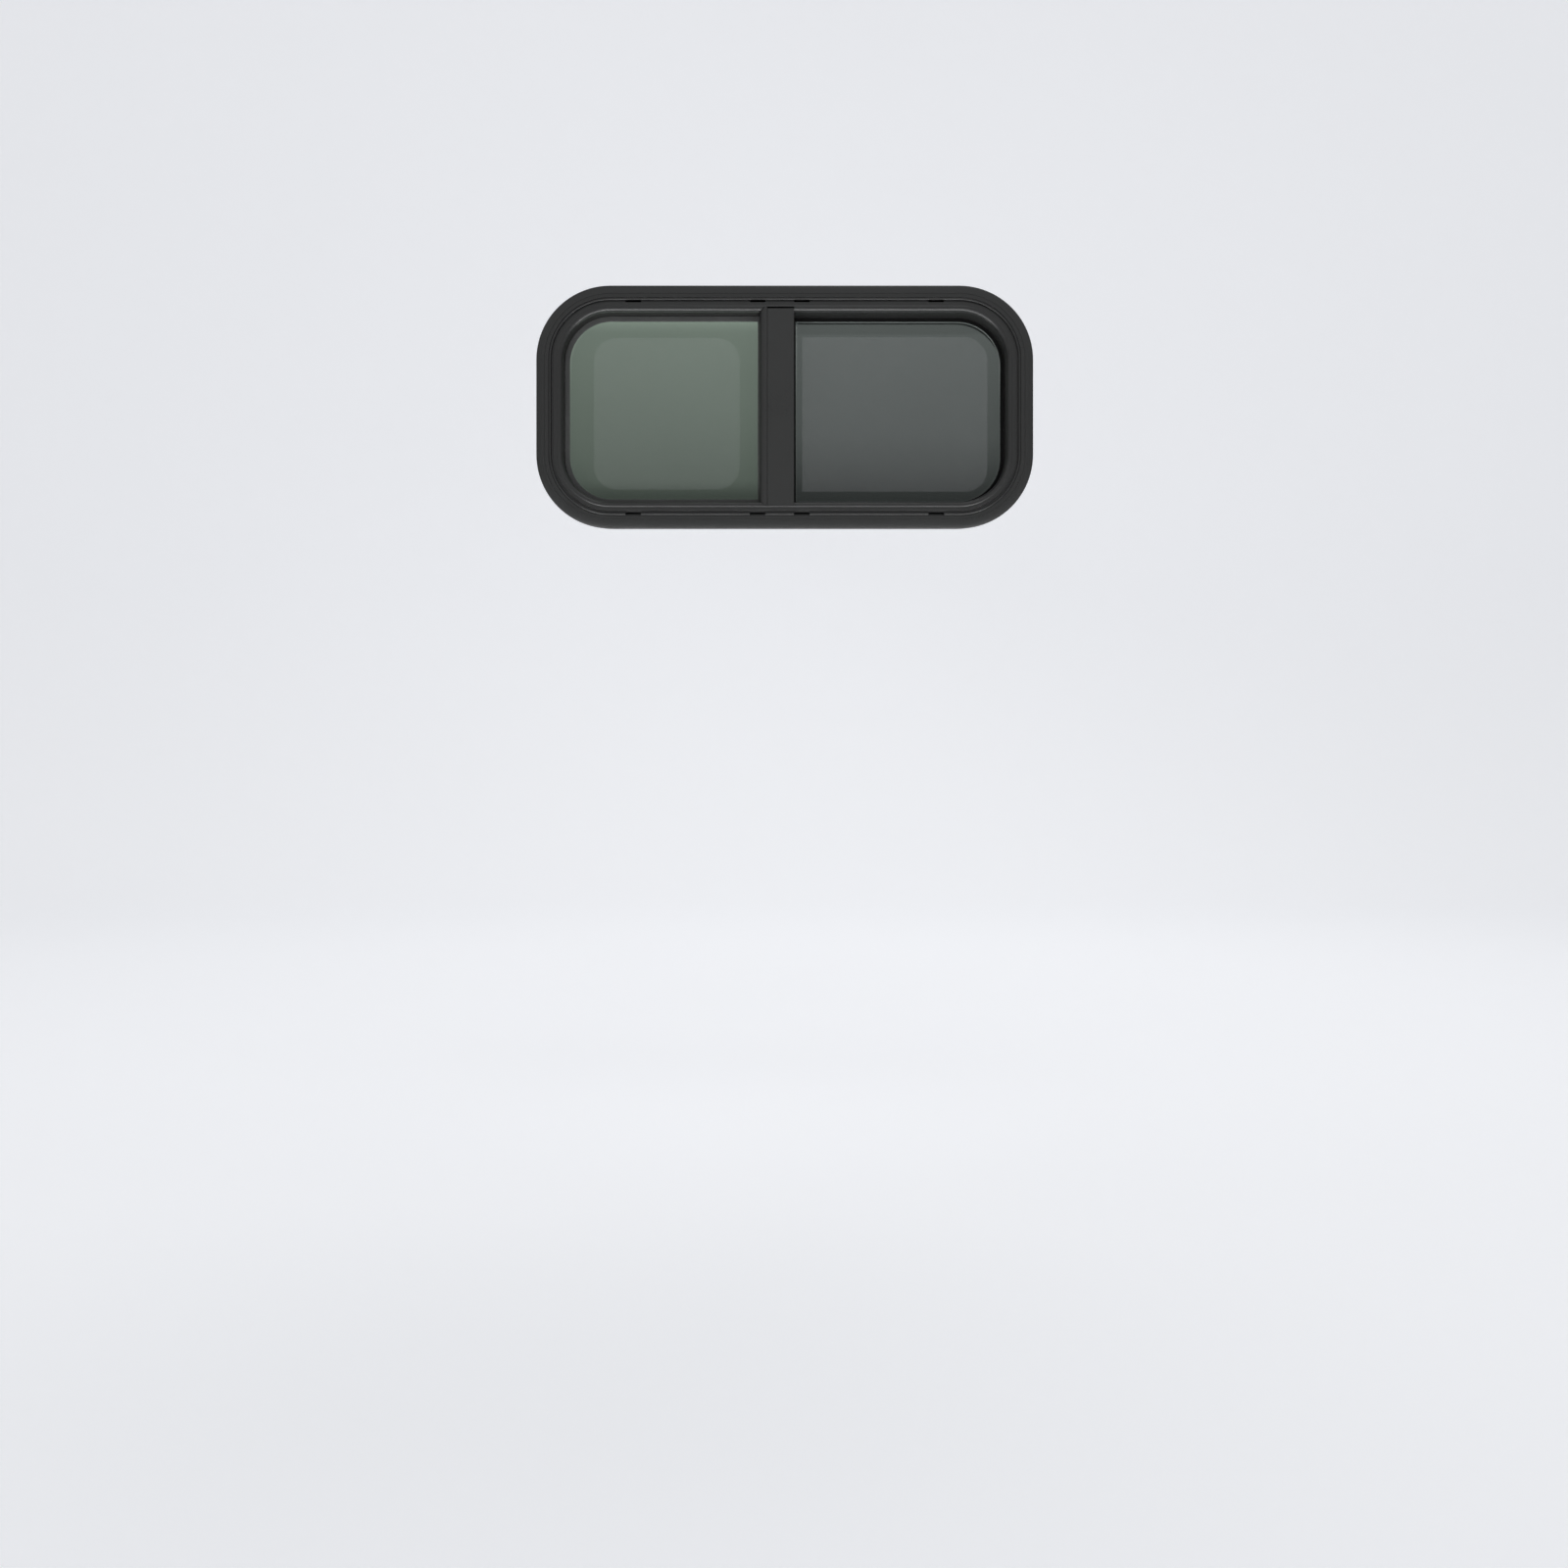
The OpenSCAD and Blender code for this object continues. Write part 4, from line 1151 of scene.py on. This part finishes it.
def make_screen_frame(r, bar_w):
    """The frame with its groove, and the spline that holds the mesh in it."""
    span, mesh, spline = Span("screen_frame"), Span("screen_mesh"), Span("screen_spline")
    g0, g1, deep = 5.4 * MM, 9.0 * MM, span.back + 3.6 * MM
    profile = [
        (0.0, span.front, 0.6 * MM), (0.0, span.back, 0.6 * MM), (g0, span.back, 0.2 * MM),
        (g0, deep), (g1, deep), (g1, mesh.front), (bar_w, mesh.front, 0.2 * MM),
        (bar_w, span.front, 0.6 * MM),
    ]
    left, crown = g0 + 0.1 * MM, spline.back
    cord = [
        (left, spline.front), (left, crown + 0.8 * MM), (left + 0.4 * MM, crown + 0.25 * MM),
        (left + 1.2 * MM, crown), (g1 - 0.9 * MM, crown), (g1 - 0.3 * MM, crown + 0.25 * MM),
        (g1, crown + 0.8 * MM), (g1, spline.front),
    ]
    for section, name, finish, node in (
        (eased(profile, 4), "screen_profile", "inner_black_coat", "screen_frame"),
        (cord, "spline_cord", "black_rubber", "screen_spline"),
    ):
        rows = [screen_row(span, d, level, r) for d, level in section]
        piece(name, skin(bmesh.new(), rows), finish, [node])


def make_wires(round_r):
    """The mesh: upright wires and level ones, cut back where the corners are round."""
    mesh, sash = Span("screen_mesh"), window()[1]
    d, pitch = sash.wire_d, sash.wire_pitch
    x0, x1, half = mesh.x0, mesh.x1, mesh.y1
    low, mid = mesh.back, mesh.back + d

    def cut_back(past):
        """How much shorter a wire is that lies this far past the start of the corner."""
        return round_r - math.sqrt(max(0.0, round_r**2 - max(0.0, past) ** 2))

    bm = bmesh.new()
    for i in range(1, int((x1 - x0) / pitch)):
        x = x0 + i * pitch
        y = half - cut_back(x - (x1 - round_r))
        bar(bm, oblong(x - d / 2, x + d / 2, low, mid), -y, y)
    for i in range(1, int(2 * half / pitch)):
        y = -half + i * pitch
        x = x1 - cut_back(abs(y) - (half - round_r))
        bar(bm, oblong(y - d / 2, y + d / 2, mid, mid + d), x0, x, "x")
    piece("screen_wires", bm, "screen_wire", ["screen_mesh"])


def make_rails():
    """The two rails that the screen slides in, and their rivets."""
    sheet = 1.4 * MM
    for name, node, side in (
        ("upper_rail", "screen_top_rail", 1),
        ("lower_rail", "screen_bottom_rail", -1),
    ):
        rail = Span(node)
        low, high = (rail.y0, rail.y1) if side > 0 else (-rail.y1, -rail.y0)
        web, seat = low + 6 * MM, rail.front - sheet
        shape = [
            (low, rail.front, 0.3 * MM), (high, rail.front, 0.3 * MM), (high, seat, 0.5 * MM),
            (web + sheet, seat, 0.5 * MM), (web + sheet, rail.back, 0.9 * MM),
            (low, rail.back, 0.6 * MM), (low, rail.back + sheet, 0.4 * MM),
            (web, rail.back + sheet, 0.4 * MM), (web, seat, 0.4 * MM), (low, seat, 0.4 * MM),
        ]
        rows = [(side * y, level) for y, level in eased(shape, 4)]
        bm = bar(bmesh.new(), rows, rail.x0, rail.x1, "x")
        piece(name, bm, "inner_black_coat", [node])

    rivets, r = Span("screen_rail_rivets"), 2.5 * MM
    reach, rise = (rivets.x1 - rivets.x0) / 2 - r, rivets.front - rivets.back
    dome = [(r, 0.0), (r, rise * 0.25), (2.25 * MM, rise * 0.6), (1.7 * MM, rise * 0.87)]
    dome += [(1.0 * MM, rise), (0.45 * MM, rise), (0.4 * MM, rise * 0.7)]
    bm = bmesh.new()
    for u in (-1, -0.35, 0.35, 1):
        for y in (rivets.y0 + r, rivets.y1 - r):
            turned(bm, u * reach, y, rivets.front, -1, dome, 20)
    piece("rail_rivets", bm, "stainless_steel", ["screen_rail_rivets"])


class WINDOW_OT_screen(bpy.types.Operator):
    """Make the insect screen, its rails, rivets, spline and tab"""

    bl_idname = "caravan_window.screen"
    bl_label = "Insect screen"

    def execute(self, context):
        bar_w, overlap = 14 * MM, 2 * MM
        r = window()[1].clear_r + overlap + bar_w
        make_screen_frame(r, bar_w)
        make_wires(r - bar_w + 5 * MM)
        make_rails()
        tab = Span("screen_tab")
        edges = [(0.0, 1.0 * MM), (0.3 * MM, 0.3 * MM), (1.0 * MM, 0.0)]
        bm, tool = bmesh.new(), bmesh.new()
        moulding(bm, tab, 1.2 * MM, 0.9, edges, 5)
        grooves(tool, tab, [(i - 3) * 3.4 * MM for i in range(7)], 0.5 * MM, 0.6 * MM)
        piece("tab_moulding", bm, "moulded_black", ["screen_tab"], [tool])
        return {"FINISHED"}


# ---- stage


def aim(obj, place, target):
    obj.location = place
    obj.rotation_mode = "QUATERNION"
    obj.rotation_quaternion = (Vector(target) - Vector(place)).to_track_quat("-Z", "Y")


def make_backdrop(stage):
    """The floor, which bends up into a backdrop far behind the window."""
    floor = MIDDLE - stage.floor_drop
    wide, near, far, bend, high = 45.0, -40.0, 5.0, 1.8, 12.0
    side = [(near, floor), *arc(far - bend, floor + bend, bend, bend, -90, 0, 24), (far, high)]
    bm = bmesh.new()
    grid = [[bm.verts.new((x, y, z)) for y, z in side] for x in (-wide, wide)]
    for i in range(len(side) - 1):
        bm.faces.new((grid[0][i], grid[1][i], grid[1][i + 1], grid[0][i + 1]))
    mesh = bpy.data.meshes.new("backdrop")
    bm.to_mesh(mesh)
    bm.free()
    mesh.shade_smooth()
    sheet = placed("backdrop", mesh)
    graph = Graph(bpy.data.materials.new("backdrop_paper"))
    tone = graph.noise(graph.place(), 0.6, 2.0)
    ray = graph.node("ShaderNodeLightPath", out="Is Camera Ray")
    seen = graph.maths("MAXIMUM", ray, ray.other("Is Glossy Ray"))
    seen = graph.maths("MAXIMUM", seen, ray.other("Is Transmission Ray"))
    graph.surface(
        {
            "Base Color": graph.mix(tone, shade(stage.backdrop, 0.985), stage.backdrop),
            "Roughness": 0.9,
            "Specular IOR Level": 0.1,
            "Emission Color": graph.mix(seen, (0.0, 0.0, 0.0), shade(stage.backdrop, 0.23)),
            "Emission Strength": 1.0,
        }
    )
    mesh.materials.append(material("backdrop_paper"))


def make_world():
    """The light of the room: it changes with height, and is weaker to the sides above."""
    world = bpy.data.worlds.new("studio")
    bpy.context.scene.world = world
    graph = Graph(world)
    aside, _, up = graph.along(graph.node("ShaderNodeTexCoord", out="Generated"))
    glow = graph.node(
        "ShaderNodeValToRGB",
        {
            "stops": [
                (0.0, (0.62, 0.625, 0.63)),
                (0.50, (0.74, 0.75, 0.76)),
                (0.53, (0.66, 0.67, 0.68)),
                (0.565, (0.42, 0.425, 0.43)),
                (0.612, (0.40, 0.405, 0.41)),
                (0.685, (0.96, 0.97, 0.98)),
                (0.74, (0.82, 0.83, 0.84)),
                (0.86, (0.88, 0.89, 0.91)),
                (0.97, (0.45, 0.455, 0.46)),
            ]
        },
        {"Fac": up * 0.5 + 0.5},
    )
    glow = graph.mix(aside * aside * graph.clamped(up * 4.0) * 0.35, glow, (0.0, 0.0, 0.0))
    ambient = graph.node("ShaderNodeBackground", None, {"Color": glow, "Strength": 1.0})
    graph.node("ShaderNodeOutputWorld", None, {"Surface": ambient})


def make_lamps():
    """Soft boxes above, below and behind the window, which the camera doesn't see."""
    for name, place, target, size, power, spread in (
        ("high_box", (0.3, -0.5, 3.4), (0.0, 0.0, 0.0), (1.5, 1.5), 11.0, 180),
        ("low_strip", (0.0, -0.65, -0.83), (0.0, 0.0, 0.28), (2.4, 0.3), 9.2, 120),
        ("low_left", (-0.8, -0.68, -0.84), (0.2, 0.0, 0.3), (0.5, 0.3), 2.2, 120),
        ("low_right", (0.8, -0.68, -0.84), (-0.2, 0.0, 0.3), (0.5, 0.3), 2.2, 120),
        ("rear_box", (0.6, 2.6, 2.9), (0.0, 0.2, 0.1), (2.2, 1.2), 24.0, 180),
    ):
        lamp = bpy.data.lights.new(name, "AREA")
        lamp.shape, lamp.size, lamp.size_y, lamp.energy = "RECTANGLE", *size, power
        lamp.spread = math.radians(spread)
        obj = placed(name, lamp)
        aim(obj, place, target)
        obj.visible_camera = False


class WINDOW_OT_stage(bpy.types.Operator):
    """Build the floor, the backdrop, the lights and the camera"""

    bl_idname = "caravan_window.stage"
    bl_label = "Studio"

    def execute(self, context):
        scene = context.scene
        stage = scene.window_stage
        camera = placed("camera", bpy.data.cameras.new("camera"))
        camera.data.lens, camera.data.sensor_width = stage.lens, 36.0
        camera.data.clip_end = 100.0
        eye = (-1.3 * MM, -stage.distance, MIDDLE - stage.drop)
        aim(camera, eye, (eye[0], 0.0, eye[2]))
        scene.camera = camera
        make_backdrop(stage)
        make_world()
        make_lamps()
        scene.view_settings.view_transform = "Standard"
        return {"FINISHED"}


class WINDOW_PT_panel(bpy.types.Panel):
    """The window's sizes, finishes and steps"""

    bl_label = "Caravan window"
    bl_idname = "WINDOW_PT_panel"
    bl_space_type = "VIEW_3D"
    bl_region_type = "UI"
    bl_category = "Window"

    def draw(self, context):
        for group in GROUPS:
            box = self.layout.box()
            data = getattr(context.scene, group)
            for name in data.__annotations__:
                box.prop(data, name)
        for step in STEPS:
            self.layout.operator(step.bl_idname)


GROUPS = {
    "window_frame": FrameSizes,
    "window_sash": SashSizes,
    "window_finishes": Finishes,
    "window_stage": StageSettings,
}
STEPS = (
    WINDOW_OT_stage,
    WINDOW_OT_finishes,
    WINDOW_OT_frame,
    WINDOW_OT_mullion,
    WINDOW_OT_panes,
    WINDOW_OT_seals,
    WINDOW_OT_sash,
    WINDOW_OT_clamp,
    WINDOW_OT_screen,
)


def register():
    for one in (*GROUPS.values(), *STEPS, WINDOW_PT_panel):
        bpy.utils.register_class(one)
    for name, group in GROUPS.items():
        setattr(bpy.types.Scene, name, bpy.props.PointerProperty(type=group))


def unregister():
    for name in GROUPS:
        delattr(bpy.types.Scene, name)
    for one in reversed((*GROUPS.values(), *STEPS, WINDOW_PT_panel)):
        bpy.utils.unregister_class(one)


def main():
    """Build the window on its stage."""
    register()
    bpy.ops.caravan_window.stage()
    bpy.ops.caravan_window.finishes()
    bpy.ops.caravan_window.frame()
    bpy.ops.caravan_window.mullion()
    bpy.ops.caravan_window.panes()
    bpy.ops.caravan_window.seals()
    bpy.ops.caravan_window.sash()
    bpy.ops.caravan_window.clamp()
    bpy.ops.caravan_window.screen()


if __name__ == "__main__":
    main()
